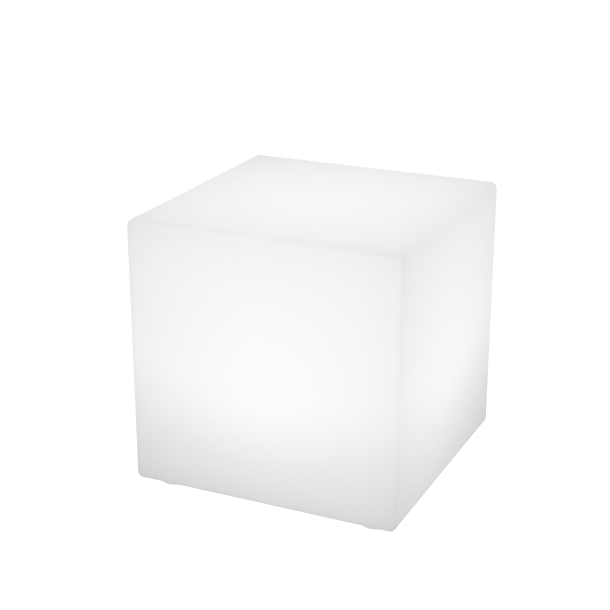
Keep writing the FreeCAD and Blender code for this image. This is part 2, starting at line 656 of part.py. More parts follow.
def remote_receiver():
    """The receiver for the hand-held remote: a moulded body with a round nose, on three legs."""
    low = led_board_top + RECEIVER_LEG_LENGTH
    body = centred_block(RECEIVER_WIDTH, RECEIVER_DEPTH, low, low + RECEIVER_HEIGHT)
    nose = cylinder(RECEIVER_DEPTH / 2, low + RECEIVER_NOSE_INSET,
                    low + RECEIVER_HEIGHT - RECEIVER_NOSE_INSET, 0.0, -RECEIVER_DEPTH / 2)
    legs = [centred_block(RECEIVER_LEG_SIZE, RECEIVER_LEG_SIZE, led_board_top, low,
                          i * RECEIVER_LEG_PITCH) for i in (-1, 0, 1)]
    return joined([body, nose] + legs)


def cap_arc(radius, rise, level):
    """Start, middle, end and centre height of the arc of a round cap, in the XZ half plane."""
    sphere = (radius ** 2 + rise ** 2) / (2 * rise)
    centre = level + rise - sphere
    half = math.asin(radius / sphere) / 2
    return (Vector(radius, 0, level),
            Vector(sphere * math.sin(half), 0, centre + sphere * math.cos(half)),
            Vector(0, 0, level + rise))


def diffuser_dome():
    """The opal cover over the light board: a round cap with a screwed flange."""
    low, level = deck_top, deck_top + DOME_FLANGE_THICKNESS
    outer = cap_arc(DOME_BASE_RADIUS, DOME_RISE, level)
    inner = cap_arc(DOME_BASE_RADIUS - DOME_WALL, DOME_RISE - DOME_WALL, level)
    outline = [Part.LineSegment(Vector(DOME_BASE_RADIUS - DOME_WALL, 0, low),
                                Vector(dome_flange_radius, 0, low)),
               Part.LineSegment(Vector(dome_flange_radius, 0, low),
                                Vector(dome_flange_radius, 0, level)),
               Part.LineSegment(Vector(dome_flange_radius, 0, level), outer[0]),
               Part.Arc(*outer),
               Part.LineSegment(outer[2], inner[2]),
               Part.Arc(inner[2], inner[1], inner[0]),
               Part.LineSegment(inner[0], Vector(DOME_BASE_RADIUS - DOME_WALL, 0, low))]
    face = Part.Face(Part.Wire([edge.toShape() for edge in outline]))
    dome = face.revolve(Vector(0, 0, 0), Vector(0, 0, 1), 360)
    return dome.cut([cylinder(DOME_SCREW_RADIUS + SCREW_GAP, low, level, x, y)
                     for x, y in dome_screw_places()])


def dome_screws():
    return [screw(x, y, deck_top + DOME_FLANGE_THICKNESS,
                  DOME_SCREW_RADIUS * PILOT_RATIO - SEAT_FIT, DOME_SCREW_LENGTH,
                  DOME_HEAD_RADIUS, DOME_HEAD_HEIGHT) for x, y in dome_screw_places()]


def lead_grommet():
    x, y = grommet_place()
    neck = cylinder(GROMMET_NECK_RADIUS, tub_top, deck_top, x, y)
    lips = [cylinder(GROMMET_LIP_RADIUS, tub_top - GROMMET_LIP_HEIGHT, tub_top, x, y),
            cylinder(GROMMET_LIP_RADIUS, deck_top, deck_top + GROMMET_LIP_HEIGHT, x, y)]
    bore = cylinder(GROMMET_BORE_RADIUS, tub_top - GROMMET_LIP_HEIGHT,
                    deck_top + GROMMET_LIP_HEIGHT, x, y)
    return joined([neck] + lips).cut(bore)


# ---------------------------------------------------------------- battery
def battery_cells():
    return [cell_cylinder(CELL_RADIUS, y) for y in cell_ys]


def battery_tabs():
    """Nickel strips: one joins the cells at +X, and two short ones take the leads at -X."""
    half, end = TAB_WIDTH / 2, CELL_LENGTH / 2
    low, high = cell_z - half, cell_z + half
    bridge = block(end, end + TAB_THICKNESS, cell_ys[0] - half, cell_ys[1] + half, low, high)
    ends = [block(-end - TAB_THICKNESS, -end, y - half, y + half, low, high) for y in cell_ys]
    return [bridge] + ends


def battery_pad():
    return centred_block(PAD_LENGTH, CLAMP_WIDTH, pad_low, clamp_low, 0.0, pack_y)


def battery_clamp():
    plate = rounded_block(clamp_length, CLAMP_WIDTH, clamp_low, clamp_low + CLAMP_THICKNESS,
                          CLAMP_CORNER_RADIUS, 0.0, pack_y)
    return plate.cut([cylinder(CLAMP_SCREW_RADIUS + SCREW_GAP, clamp_low,
                               clamp_low + CLAMP_THICKNESS, x, pack_y)
                      for x in (-clamp_post_x, clamp_post_x)])


def clamp_screws():
    return [screw(x, pack_y, clamp_low + CLAMP_THICKNESS,
                  CLAMP_SCREW_RADIUS * PILOT_RATIO - SEAT_FIT, CLAMP_SCREW_LENGTH,
                  CLAMP_HEAD_RADIUS, CLAMP_HEAD_HEIGHT) for x in (-clamp_post_x, clamp_post_x)]


# ---------------------------------------------------------------- control board
def control_board():
    board = rounded_block(BOARD_LENGTH, BOARD_WIDTH, board_low, board_top,
                          BOARD_CORNER_RADIUS, 0.0, board_centre_y)
    return board.cut([cylinder(BOARD_SCREW_RADIUS + SCREW_GAP, board_low, board_top, x, y)
                      for x, y in board_screw_places()])


def control_board_screws():
    return [screw(x, y, board_top, BOARD_SCREW_RADIUS * PILOT_RATIO - SEAT_FIT,
                  BOARD_SCREW_LENGTH, BOARD_HEAD_RADIUS, BOARD_HEAD_HEIGHT)
            for x, y in board_screw_places()]


def control_chips():
    """The controller in the middle of the board and its four light drivers."""
    y = board_centre_y - CHIP_ROW_SHIFT
    chips = [centred_block(CHIP_SIZE, CHIP_SIZE, board_top, board_top + CHIP_HEIGHT, 0.0, y)]
    chips += [centred_block(DRIVER_SIZE, DRIVER_SIZE, board_top, board_top + DRIVER_HEIGHT, x, y)
              for x in (-DRIVER_FAR_X, -DRIVER_NEAR_X, DRIVER_NEAR_X, DRIVER_FAR_X)]
    return chips


def board_capacitors():
    y = board_edge_y + FAR_EDGE_GAP + CAPACITOR_RADIUS
    return [cylinder(CAPACITOR_RADIUS, board_top, board_top + CAPACITOR_HEIGHT, x, y)
            for x in (-CAPACITOR_X, CAPACITOR_X)]


def charging_coil():
    """The charging circuit's choke: a square ferrite block with a round winding window."""
    y = board_edge_y + FAR_EDGE_GAP + COIL_SIZE / 2
    body = centred_block(COIL_SIZE, COIL_SIZE, board_top, board_top + COIL_HEIGHT, 0.0, y)
    return body.makeFillet(COIL_CORNER_RADIUS, [e for e in body.Edges if upright(e)])


def board_connectors():
    return [centred_block(CONNECTOR_LENGTH, CONNECTOR_WIDTH, board_top, connector_top,
                          x, connector_y) for x in connector_xs.values()]


# ---------------------------------------------------------------- switch
def panel_seal(x, barrel_radius, bezel_radius):
    return ring(bezel_radius - PANEL_SEAL_INSET, barrel_radius + SEAT_FIT, bezel_back, panel_low, x)


def panel_nut(x, barrel_radius, across_flats):
    nut = hexagon(across_flats, panel_top, panel_top + NUT_HEIGHT, x)
    return nut.cut(cylinder(barrel_radius + THREAD_GAP, panel_top, panel_top + NUT_HEIGHT, x))


def bezel(radius, x):
    disc = cylinder(radius, bezel_front, bezel_back, x)
    return disc.makeFillet(BEZEL_EDGE_RADIUS, circles_at(disc, bezel_front, radius))


def switch_body():
    top = bezel_back + SWITCH_BARREL_TOP
    barrel = cylinder(SWITCH_BARREL_RADIUS, bezel_back, top, switch_x)
    body = joined([bezel(SWITCH_BEZEL_RADIUS, switch_x), barrel])
    lip_top = bezel_front + SWITCH_LIP_DEPTH
    body = body.cut(cylinder(BUTTON_RADIUS + BUTTON_GAP, bezel_front, lip_top, switch_x))
    return body.cut(cylinder(SWITCH_CAVITY_RADIUS, lip_top, top, switch_x))


def switch_button():
    """The key: a dished head, a collar that stops it falling out, and a stem for its spring."""
    face = bezel_front - BUTTON_PRESSED_PROUD - BUTTON_TRAVEL
    collar_low = bezel_front + SWITCH_LIP_DEPTH
    collar_top = collar_low + BUTTON_COLLAR_HEIGHT
    head = cylinder(BUTTON_RADIUS, face, collar_low, switch_x)
    head = head.makeFillet(BUTTON_EDGE_RADIUS, circles_at(head, face, BUTTON_RADIUS))
    dish_reach = BUTTON_RADIUS - BUTTON_RIM
    ball = (dish_reach ** 2 + BUTTON_DISH_DEPTH ** 2) / (2 * BUTTON_DISH_DEPTH)
    head = head.cut(Part.makeSphere(ball, Vector(switch_x, 0, face + BUTTON_DISH_DEPTH - ball)))
    collar = cylinder(BUTTON_COLLAR_RADIUS, collar_low, collar_top, switch_x)
    stem = cylinder(BUTTON_STEM_RADIUS, collar_top, collar_top + BUTTON_STEM_HEIGHT, switch_x)
    return joined([head, collar, stem])


def switch_rear():
    top = bezel_back + SWITCH_BARREL_TOP
    plug = cylinder(SWITCH_CAVITY_RADIUS - SWITCH_REAR_GAP, top - SWITCH_REAR_PLUG, top, switch_x)
    flange = cylinder(SWITCH_BARREL_RADIUS, top, top + SWITCH_REAR_FLANGE, switch_x)
    return joined([plug, flange])


def switch_spring():
    """The coil that pushes the key back out, from its collar to the rear block."""
    low = bezel_front + SWITCH_LIP_DEPTH + BUTTON_COLLAR_HEIGHT + SPRING_WIRE_RADIUS + SEAT_FIT
    high = bezel_back + SWITCH_BARREL_TOP - SWITCH_REAR_PLUG - SPRING_WIRE_RADIUS - SEAT_FIT
    pitch = (high - low) / SPRING_TURNS
    helix = Part.makeHelix(pitch, high - low, SPRING_COIL_RADIUS)
    path = Part.Wire(helix)
    section = Part.Wire([Part.makeCircle(SPRING_WIRE_RADIUS, Vector(SPRING_COIL_RADIUS, 0, 0),
                                         Vector(0, 2 * math.pi * SPRING_COIL_RADIUS, pitch))])
    coil = path.makePipeShell([section], True, True)
    coil.translate(Vector(switch_x, 0, low))
    return coil


def terminals(x, low):
    return [centred_block(TERMINAL_THICKNESS, TERMINAL_WIDTH, low, low + TERMINAL_LENGTH,
                          x + side * TERMINAL_SPREAD / 2) for side in (-1, 1)]


def switch_terminals():
    return terminals(switch_x, bezel_back + SWITCH_BARREL_TOP + SWITCH_REAR_FLANGE)


# ---------------------------------------------------------------- charging socket
def charge_socket():
    top = bezel_back + SOCKET_BARREL_TOP
    barrel = cylinder(SOCKET_BARREL_RADIUS, bezel_back, top, SOCKET_X)
    body = joined([bezel(SOCKET_BEZEL_RADIUS, SOCKET_X), barrel])
    return body.cut(cylinder(SOCKET_BORE_RADIUS, bezel_front, bezel_front + SOCKET_BORE_DEPTH,
                             SOCKET_X))


def socket_pin():
    return cylinder(SOCKET_PIN_RADIUS, bezel_front + SOCKET_PIN_RECESS,
                    bezel_front + SOCKET_BORE_DEPTH, SOCKET_X)


def socket_terminals():
    return terminals(SOCKET_X, bezel_back + SOCKET_BARREL_TOP)


def socket_flap():
    """The soft cover of the socket, with its stub, its pull tab and its round hinge edge."""
    disc = cylinder(FLAP_RADIUS, flap_low, flap_top, SOCKET_X)
    tab = block(SOCKET_X, SOCKET_X + FLAP_RADIUS + FLAP_TAB_LENGTH,
                -FLAP_TAB_WIDTH / 2, FLAP_TAB_WIDTH / 2, flap_low, flap_top)
    strap = block(hinge_x, SOCKET_X, -FLAP_STRAP_WIDTH / 2, FLAP_STRAP_WIDTH / 2,
                  flap_low, flap_top)
    knuckle = Part.makeCylinder(FLAP_THICKNESS / 2, FLAP_STRAP_WIDTH,
                                Vector(hinge_x, -FLAP_STRAP_WIDTH / 2, hinge_z), Vector(0, 1, 0))
    stub_radius = SOCKET_BORE_RADIUS - FLAP_STUB_GAP
    stub = cylinder(stub_radius, flap_low, flap_top + FLAP_STUB_LENGTH, SOCKET_X)
    stub = stub.makeFillet(FLAP_STUB_ROUND, circles_at(stub, flap_top + FLAP_STUB_LENGTH, stub_radius))
    return joined([disc, tab, strap, knuckle, stub])


def anchor_stud_x():
    return (anchor_near_x + anchor_far_x) / 2 - ANCHOR_STUD_SHIFT


def flap_anchor():
    """The fixed end of the flap, held in the panel by its stud. Its edge leaves the flap room."""
    # Seen from the side, the open flap runs down and back from the hinge, and the slanted edge
    # keeps half the flap's thickness and a little room away from that line.
    turn = math.radians(FLAP_OPEN_ANGLE)
    normal_x, normal_z = -math.sin(turn), -math.cos(turn)
    reach = FLAP_THICKNESS / 2 + ANCHOR_SLANT_GAP
    corner_z = hinge_z + (reach - (anchor_near_x - hinge_x) * normal_x) / normal_z
    low_x = hinge_x + (reach - (flap_low - hinge_z) * normal_z) / normal_x
    outline = [Vector(anchor_near_x, 0, panel_low), Vector(anchor_near_x, 0, corner_z),
               Vector(low_x, 0, flap_low), Vector(anchor_far_x, 0, flap_low),
               Vector(anchor_far_x, 0, panel_low)]
    pad = Part.Face(Part.makePolygon(outline + outline[:1])).extrude(Vector(0, FLAP_STRAP_WIDTH, 0))
    pad.translate(Vector(0, -FLAP_STRAP_WIDTH / 2, 0))
    stud = cylinder(ANCHOR_STUD_RADIUS, panel_low, panel_top, anchor_stud_x())
    head = cylinder(ANCHOR_HEAD_RADIUS, panel_top, panel_top + ANCHOR_HEAD_HEIGHT, anchor_stud_x())
    return joined([pad, stud, head])


# ---------------------------------------------------------------- leads
def arched_leads(x_from, start, x_to):
    """Wires that climb from two terminals, bend over and drop into the top of a connector."""
    crest = start + LEAD_RISE
    shoulder = crest - LEAD_SHOULDER
    wires = []
    for side in (-1, 1):
        a = x_from + side * TERMINAL_SPREAD / 2
        b = x_to + side * LEAD_PITCH / 2
        quarter = (b - a) / 4
        wires.append(lead([(a, 0.0, start), (a, 0.0, shoulder),
                           (a + quarter, connector_y / 4, crest),
                           (b - quarter, connector_y * 3 / 4, crest),
                           (b, connector_y, shoulder), (b, connector_y, connector_top)]))
    return wires


def switch_leads():
    return arched_leads(switch_x, switch_lead_low, connector_xs["switch"])


def socket_leads():
    return arched_leads(SOCKET_X, socket_lead_low, connector_xs["socket"])


def battery_leads():
    """One wire from each end tab, round the end of the cells and into the side of a connector."""
    tab = -CELL_LENGTH / 2 - TAB_THICKNESS
    lane = tab - LEAD_LANE
    x = connector_xs["battery"]
    plug_z = board_top + CONNECTOR_HEIGHT / 2
    low_z = plug_z - 4.6 * LEAD_RADIUS
    left, right = x - LEAD_PITCH / 2, x + LEAD_PITCH / 2
    far = lead([(tab, cell_ys[1], plug_z), (lane, cell_ys[1], plug_z),
                (lane, 0.29 * cell_ys[1], plug_z), (left, -6.0, plug_z),
                (left, connector_face, plug_z)])
    near = lead([(tab, cell_ys[0], low_z), (lane, cell_ys[0], low_z),
                 (lane, 0.54 * cell_ys[0], low_z + 0.5), (right, -4.0, plug_z - 2.0),
                 (right, -12.0, plug_z), (right, connector_face, plug_z)])
    return [far, near]


def led_leads():
    """Up from a connector, through the grommet, and over onto the light board."""
    gx, gy = grommet_place()
    away = Vector(gx, gy, 0).normalize()
    across = Vector(-away.y, away.x, 0)
    crest = led_board_top + LED_LEAD_CREST
    pad_radius = led_board_radius - LED_LEAD_MARGIN
    climb = tub_top - connector_top
    wires = []
    for side in (-1, 1):
        shift = across * (side * LEAD_PITCH / 2)
        x = connector_xs["led"] + side * LEAD_PITCH / 2
        hole = Vector(gx, gy, 0) + shift
        pad = away * pad_radius + shift
        wires.append(lead([(x, connector_y, connector_top),
                           (x, connector_y, connector_top + 0.4 * climb),
                           (hole.x, hole.y, tub_top - 0.3 * climb), (hole.x, hole.y, crest),
                           (pad.x, pad.y, crest), (pad.x, pad.y, led_board_top)]))
    return wires


# ---------------------------------------------------------------- build
os.makedirs("parts", exist_ok=True)

save("cube_shell", cube_shell())
save("threaded_inserts", *threaded_inserts())
save("flange_seal", flange_seal())
save("module_base", module_base())
save("flange_screws", *flange_screws())
save("led_deck", led_deck())
save("deck_seal", seal_groove())
save("deck_screws", *deck_screws())
save("led_board", led_board())
save("led_board_screws", *led_board_screws())
save("led_packages", *led_packages())
save("led_lenses", *led_lenses())
save("remote_receiver", remote_receiver())
save("diffuser_dome", diffuser_dome())
save("dome_screws", *dome_screws())
save("lead_grommet", lead_grommet())
save("battery_cells", *battery_cells())
save("battery_tabs", *battery_tabs())
save("battery_pad", battery_pad())
save("battery_clamp", battery_clamp())
save("clamp_screws", *clamp_screws())
save("control_board", control_board())
save("control_board_screws", *control_board_screws())
save("control_chips", *control_chips())
save("board_capacitors", *board_capacitors())
save("charging_coil", charging_coil())
save("board_connectors", *board_connectors())
save("switch_body", switch_body())
save("switch_button", switch_button())
save("switch_rear", switch_rear())
save("switch_spring", switch_spring())
save("switch_terminals", *switch_terminals())
save("switch_nut", panel_nut(switch_x, SWITCH_BARREL_RADIUS, SWITCH_NUT_ACROSS))
save("switch_seal", panel_seal(switch_x, SWITCH_BARREL_RADIUS, SWITCH_BEZEL_RADIUS))
save("charge_socket", charge_socket())
save("socket_pin", socket_pin())
save("socket_terminals", *socket_terminals())
save("socket_nut", panel_nut(SOCKET_X, SOCKET_BARREL_RADIUS, SOCKET_NUT_ACROSS))
save("socket_seal", panel_seal(SOCKET_X, SOCKET_BARREL_RADIUS, SOCKET_BEZEL_RADIUS))
save("socket_flap", socket_flap())
save("flap_anchor", flap_anchor())
save("switch_leads", *switch_leads())
save("socket_leads", *socket_leads())
save("battery_leads", *battery_leads())
save("led_leads", *led_leads())
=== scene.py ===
# %% [markdown]
# # A glowing cube for the garden
#
# The object is a hollow cube of translucent white polyethylene, 400 mm each way, that stands on
# four low moulded feet. A round light module is screwed into its underside, and its light comes
# out through the skin, brightest in the middle of each face and dimmer towards the ground.
#
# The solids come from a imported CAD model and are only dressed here: this script gives every
# piece its finish, adds the fine detail that is too small for the model, and sets up a white
# studio. First it loads the model, in metres, with +Z up and the origin on the ground.

import json
import math

import bmesh
import bpy
from mathutils import Matrix, Vector


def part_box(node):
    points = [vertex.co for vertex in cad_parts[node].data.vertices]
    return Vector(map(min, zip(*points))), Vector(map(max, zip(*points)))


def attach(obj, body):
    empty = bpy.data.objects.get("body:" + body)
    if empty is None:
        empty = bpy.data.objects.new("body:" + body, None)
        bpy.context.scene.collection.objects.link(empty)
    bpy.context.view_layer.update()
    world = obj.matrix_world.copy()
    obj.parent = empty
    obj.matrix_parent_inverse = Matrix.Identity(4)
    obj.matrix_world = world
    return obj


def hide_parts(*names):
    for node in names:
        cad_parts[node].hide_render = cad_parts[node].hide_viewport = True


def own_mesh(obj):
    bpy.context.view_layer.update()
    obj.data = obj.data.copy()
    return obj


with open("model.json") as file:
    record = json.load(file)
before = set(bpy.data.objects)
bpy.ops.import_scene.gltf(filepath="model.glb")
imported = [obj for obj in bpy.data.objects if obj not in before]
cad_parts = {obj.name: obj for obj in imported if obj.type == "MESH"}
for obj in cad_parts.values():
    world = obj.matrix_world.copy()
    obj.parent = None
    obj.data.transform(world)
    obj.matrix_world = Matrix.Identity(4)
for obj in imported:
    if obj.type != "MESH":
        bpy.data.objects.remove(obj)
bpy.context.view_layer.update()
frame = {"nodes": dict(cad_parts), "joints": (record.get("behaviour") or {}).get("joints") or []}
nodes = frame["nodes"]

# %% [markdown]
# ## Shader maths
#
# A Blender material is a graph of nodes, and a formula written as a graph is hard to read. Three
# small classes let a finish be written as a formula instead. `Value` is a socket that numbers
# come out of, and arithmetic on it adds the Math nodes that do the same sum. `Graph` owns the
# nodes, and its one method `node` adds any of them. `Finish` is the graph of a material.

# %% The shader classes
class Value:
    """The output of a node. Sums written with it become Math nodes."""

    def __init__(self, graph, socket):
        self.graph = graph
        self.socket = socket

    def sum(self, operation, *others):
        terms = dict(enumerate((self,) + others))
        return self.graph.node("Math", {"operation": operation}, terms)

    def __add__(self, other):
        return self.sum("ADD", other)

    def __sub__(self, other):
        return self.sum("SUBTRACT", other)

    def __rsub__(self, other):
        return self.graph.node("Math", {"operation": "SUBTRACT"}, {0: other, 1: self})

    def __mul__(self, other):
        return self.sum("MULTIPLY", other)

    def __truediv__(self, other):
        return self.sum("DIVIDE", other)

    def __pow__(self, other):
        return self.sum("POWER", other)

    def __abs__(self):
        return self.sum("ABSOLUTE")

    def rest(self):
        """What is left over the whole number below."""
        return self.sum("FRACT")

    def exp(self):
        return self.sum("EXPONENT")

    def root(self):
        return self.sum("SQRT")

    def sine(self):
        return self.sum("SINE")

    def cosine(self):
        return self.sum("COSINE")

    def angle(self, x):
        """The turn of a point from +X, where this is its Y."""
        return self.sum("ARCTAN2", x)

    def wrap(self, low, high):
        """The same angle, brought between two limits."""
        return self.sum("WRAP", high, low)

    def over(self, floor):
        """The larger of this and a floor."""
        return self.sum("MAXIMUM", floor)

    def under(self, ceiling):
        """The smaller of this and a ceiling."""
        return self.sum("MINIMUM", ceiling)

    def step(self, low, high, start=0.0, end=1.0):
        """A smooth rise from start to end as this goes from low to high."""
        settings = {"interpolation_type": "SMOOTHSTEP"}
        return self.graph.node("MapRange", settings, {
            "Value": self, "From Min": low, "From Max": high, "To Min": start, "To Max": end})

    def within(self, limit, blur):
        """1 up to a limit, then a smooth fall to 0 over the blur."""
        return self.step(limit, limit + blur, 1.0, 0.0)

    __radd__ = __add__
    __rmul__ = __mul__


class Graph:
    """A tree of nodes, and the one way to add to it."""

    def __init__(self, tree):
        self.tree = tree

    def node(self, kind, settings=None, sockets=None, out=0):
        """Adds a node, sets it up, fills its sockets, and returns one of its outputs."""
        made = self.tree.nodes.new("ShaderNode" + kind)
        for name, setting in (settings or {}).items():
            setattr(made, name, setting)
        for name, filling in (sockets or {}).items():
            self.fill(made.inputs[name], filling)
        return Value(self, made.outputs[out])

    def fill(self, socket, filling):
        if isinstance(filling, Value):
            self.tree.links.new(filling.socket, socket)
        elif socket.type == "RGBA":
            socket.default_value = (*filling, 1.0)
        else:
            socket.default_value = filling

    def parts(self, vector):
        """The three numbers in a vector."""
        split = self.node("SeparateXYZ", None, {0: vector})
        outputs = split.socket.node.outputs
        return [Value(self, outputs[i]) for i in range(3)]

    def grey(self, value):
        """A neutral colour of that brightness."""
        return self.node("CombineXYZ", None, {0: value, 1: value, 2: value})

    def mixed(self, share, first, second):
        """A colour between two others."""
        settings = {"data_type": "RGBA"}
        return self.node("Mix", settings, {0: share, 6: first, 7: second}, out=2)

    def place(self):
        """Where the surface is, in the object's own metres."""
        return self.node("TexCoord", out="Object")

    def noise(self, scale, detail=2.0, roughness=0.5, place=None):
        sockets = {"Vector": place or self.place(), "Scale": scale, "Detail": detail,
                   "Roughness": roughness}
        return self.node("TexNoise", None, sockets)

    def bump(self, height, strength):
        """Relief from a height in metres."""
        return self.node("Bump", None, {"Height": height, "Distance": 1.0, "Strength": strength})


class Finish(Graph):
    """The graph of a material, around its Principled shader."""

    def __init__(self, name, **constants):
        self.material = bpy.data.materials.new(name)
        self.material.use_nodes = True
        super().__init__(self.material.node_tree)
        self.shader = self.tree.nodes["Principled BSDF"]
        self.set(**constants)

    def set(self, **sockets):
        """Fills sockets of the shader. In a socket's name here, _ stands for a space."""
        for name, filling in sockets.items():
            title = name.replace("_", " ").title().replace("Ior", "IOR")
            self.fill(self.shader.inputs[title], filling)


def dress(finish, *names):
    """Gives CAD nodes a finish in place of the plain colour they came with."""
    for name in names:
        for slot in nodes[name].material_slots:
            slot.material = finish.material
    print(finish.material.name, "on", ", ".join(names))


# %% [markdown]
# ## The lit skin
#
# This is the finish that the whole picture rests on. The real skin scatters the light that
# reaches it from inside, so from outside each point looks as bright as its inner face is lit.
# That brightness has four parts, each with a plain cause. The chamber is white, so light that
# has bounced about fills it evenly. The dome on the module adds light that falls off with
# distance and with slant, which makes the soft bright middle of each face. The dome's own rim
# keeps its light off the lowest part of the walls. That shade is a cone round the dome, so it
# climbs towards the corners, which stand farther out. The rounding under the walls gets least of
# all. And where two walls meet, each shades the other, so edges are a little dimmer.
#
# The sum of these feeds Emission Color. The shader's own colour stays at less than half of
# white, because a skin that lets most light through sends little of it back.

# %% Finish of the shell
high_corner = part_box("cube_shell")[1]
half_width = high_corner.x
shell_top = high_corner.z
# The flat wall stops short of the top by the edge rounding, and of the underside by as much.
wall = [vert.co.z for vert in nodes["cube_shell"].data.vertices
        if vert.co.x > half_width - 0.00001]
edge_rounding = shell_top - max(wall)
body_bottom = min(wall) - edge_rounding
print("the body starts", body_bottom, "m over the ground")

EVEN_LIGHT = 0.512                 # from light that has bounced about inside
RISING_LIGHT = 0.153               # more of it, over the dome's rim
RIM_HEIGHT = 0.063
RISE_LOW, RISE_HIGH = -0.21, 0.58  # slopes from the rim, between which it comes in
DIRECT_LIGHT = 0.058               # straight from the dome, at a face's middle
LAMP_HEIGHT = 0.174                # of the point that this light seems to come from
DIRECT_RISE = 0.06                 # height over which it comes in
EDGE_SHADE = 0.060                 # lost where walls meet
EDGE_REACH = 0.073
LINE_SHADE = 0.030                 # lost on the very edge, and more where three walls meet
LINE_REACH = 0.008
LOWEST_SHADE = 0.040               # lost on the rounding of the lowest edges
LOWEST_REACH = 0.016               # height over which it fades out
MOTTLE = 0.010                     # light and shade from uneven wall thickness
SKIN_REFLECTANCE = 0.40


def lit_skin():
    finish = Finish("lit_polyethylene", base_color=(SKIN_REFLECTANCE,) * 3,
                    specular_ior_level=0.15, emission_strength=1.0)
    place = finish.place()
    x, y, z = finish.parts(place)

    from_lamp = finish.node("VectorMath", {"operation": "SUBTRACT"},
                            {0: place, 1: (0.0, 0.0, LAMP_HEIGHT)})
    normal = finish.node("TexCoord", out="Normal")
    facing = abs(finish.node("VectorMath", {"operation": "DOT_PRODUCT"},
                             {0: from_lamp, 1: normal}, out=1))
    distance = finish.node("VectorMath", {"operation": "LENGTH"}, {0: from_lamp}, out=1)
    direct = facing * half_width ** 2 / distance ** 3 * z.step(0.0, DIRECT_RISE)

    def near(gap, reach):
        return (gap / -reach).exp()

    middle = (shell_top + body_bottom) / 2
    half_height = (shell_top - body_bottom) / 2
    gap_x, gap_y = half_width - abs(x), half_width - abs(y)
    gap_z = half_height - abs(z - middle)
    corners = near(gap_x, EDGE_REACH) + near(gap_y, EDGE_REACH) + near(gap_z, EDGE_REACH) - 1.0
    line = (near(gap_x + gap_y, LINE_REACH) + near(gap_y + gap_z, LINE_REACH)
            + near(gap_z + gap_x, LINE_REACH))
    lowest = z.within(body_bottom, LOWEST_REACH)
    out = (x * x + y * y).root().over(0.001)     # never 0, because it divides
    rising = ((z - RIM_HEIGHT) / out).step(RISE_LOW, RISE_HIGH)
    mottle = finish.noise(16.0, 3.0, 0.55) - 0.5
    light = (EVEN_LIGHT + RISING_LIGHT * rising + DIRECT_LIGHT * direct
             - EDGE_SHADE * corners - LINE_SHADE * line - LOWEST_SHADE * lowest
             + MOTTLE * mottle)
    grain = finish.noise(900.0, 2.0, 0.6)
    waves = finish.noise(9.0, 1.0)
    finish.set(emission_color=finish.grey(light.over(0.0)),
               roughness=0.52 + 0.10 * finish.noise(60.0, 2.0),
               normal=finish.bump(grain * 0.00004 + waves * 0.0004, 0.35))
    return finish


dress(lit_skin(), "cube_shell")

# %% [markdown]
# ## Helpers for the other pieces
#
# Most of the other pieces are hidden inside the cube, or show only from below. Their finishes are
# small formulas too, and three things come up again and again. Turned metal has rings round its
# own axis, so a finish has to know where the axes are. Pieces of one node have to be told apart.
# And an upright wall is often finished otherwise than the top, as on a circuit board.
#
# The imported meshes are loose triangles. A merged copy in bmesh shows which triangles hang
# together, and each such lump is one real piece.

# %% Finding the real pieces in a node
MERGE_GAP = 1e-6


def merged(name):
    """A copy of a node's mesh, with its triangles joined up."""
    mesh = bmesh.new()
    mesh.from_mesh(nodes[name].data)
    bmesh.ops.remove_doubles(mesh, verts=mesh.verts, dist=MERGE_GAP)
    return mesh


def lumps(mesh):
    """The faces of each separate piece in a mesh, from the lowest X to the highest."""
    found, seen = [], set()
    for first in mesh.faces:
        if first in seen:
            continue
        seen.add(first)
        lump, waiting = [], [first]
        while waiting:
            face = waiting.pop()
            lump.append(face)
            for other in (near for edge in face.edges for near in edge.link_faces):
                if other not in seen:
                    seen.add(other)
                    waiting.append(other)
        found.append(lump)
    return sorted(found, key=lambda lump: middle_of(lump).x)


def middle_of(faces):
    corners = [vert.co for face in faces for vert in face.verts]
    low = Vector([min(corner[i] for corner in corners) for i in range(3)])
    high = Vector([max(corner[i] for corner in corners) for i in range(3)])
    return (low + high) / 2


def middles(*names):
    """The middle of each real piece in some nodes."""
    found = []
    for name in names:
        mesh = merged(name)
        found += [middle_of(lump) for lump in lumps(mesh)]
        mesh.free()
    return found


def from_nearest(finish, axes):
    """How far the surface is from the nearest of some upright axes, in metres."""
    flat = finish.node("VectorMath", {"operation": "MULTIPLY"},
                       {0: finish.place(), 1: (1.0, 1.0, 0.0)})
    gaps = [finish.node("VectorMath", {"operation": "DISTANCE"},
                        {0: flat, 1: (axis.x, axis.y, 0.0)}, out=1) for axis in axes]
    nearest = gaps[0]
    for gap in gaps[1:]:
        nearest = nearest.under(gap)
    return nearest


def level(finish):
    """1 where the surface lies level, 0 where it stands upright."""
    return abs(finish.parts(finish.node("TexCoord", out="Normal"))[2]).step(0.4, 0.8)


print("the flange is held by", len(middles("flange_screws")), "screws")

# %% [markdown]
# ## Moulded plastics
#
# The module's tub and its lid are moulded in white ABS. A mould for such a part is etched, which
# leaves a fine grain, and the plastic cools unevenly, which leaves faint clouds. Voronoi cells
# make a better etched grain than noise, because an etched grain has pits of about one size. The
# black nylon is filled with glass fibre, so its grain is coarser and paler specks show in it.

# %% White housing, black and cream nylon
def white_housing():
    finish = Finish("white_housing", specular_ior_level=0.4)
    cloud = finish.noise(14.0, 2.0)
    pits = finish.node("TexVoronoi", None, {"Vector": finish.place(), "Scale": 2600.0},
                       out="Distance")
    scuffs = finish.noise(70.0, 4.0, 0.7)
    finish.set(base_color=finish.mixed(cloud, (0.80, 0.80, 0.785), (0.86, 0.86, 0.85)),
               roughness=0.46 + 0.12 * scuffs,
               normal=finish.bump(pits * 0.00003 + cloud * 0.0002, 0.5))
    return finish


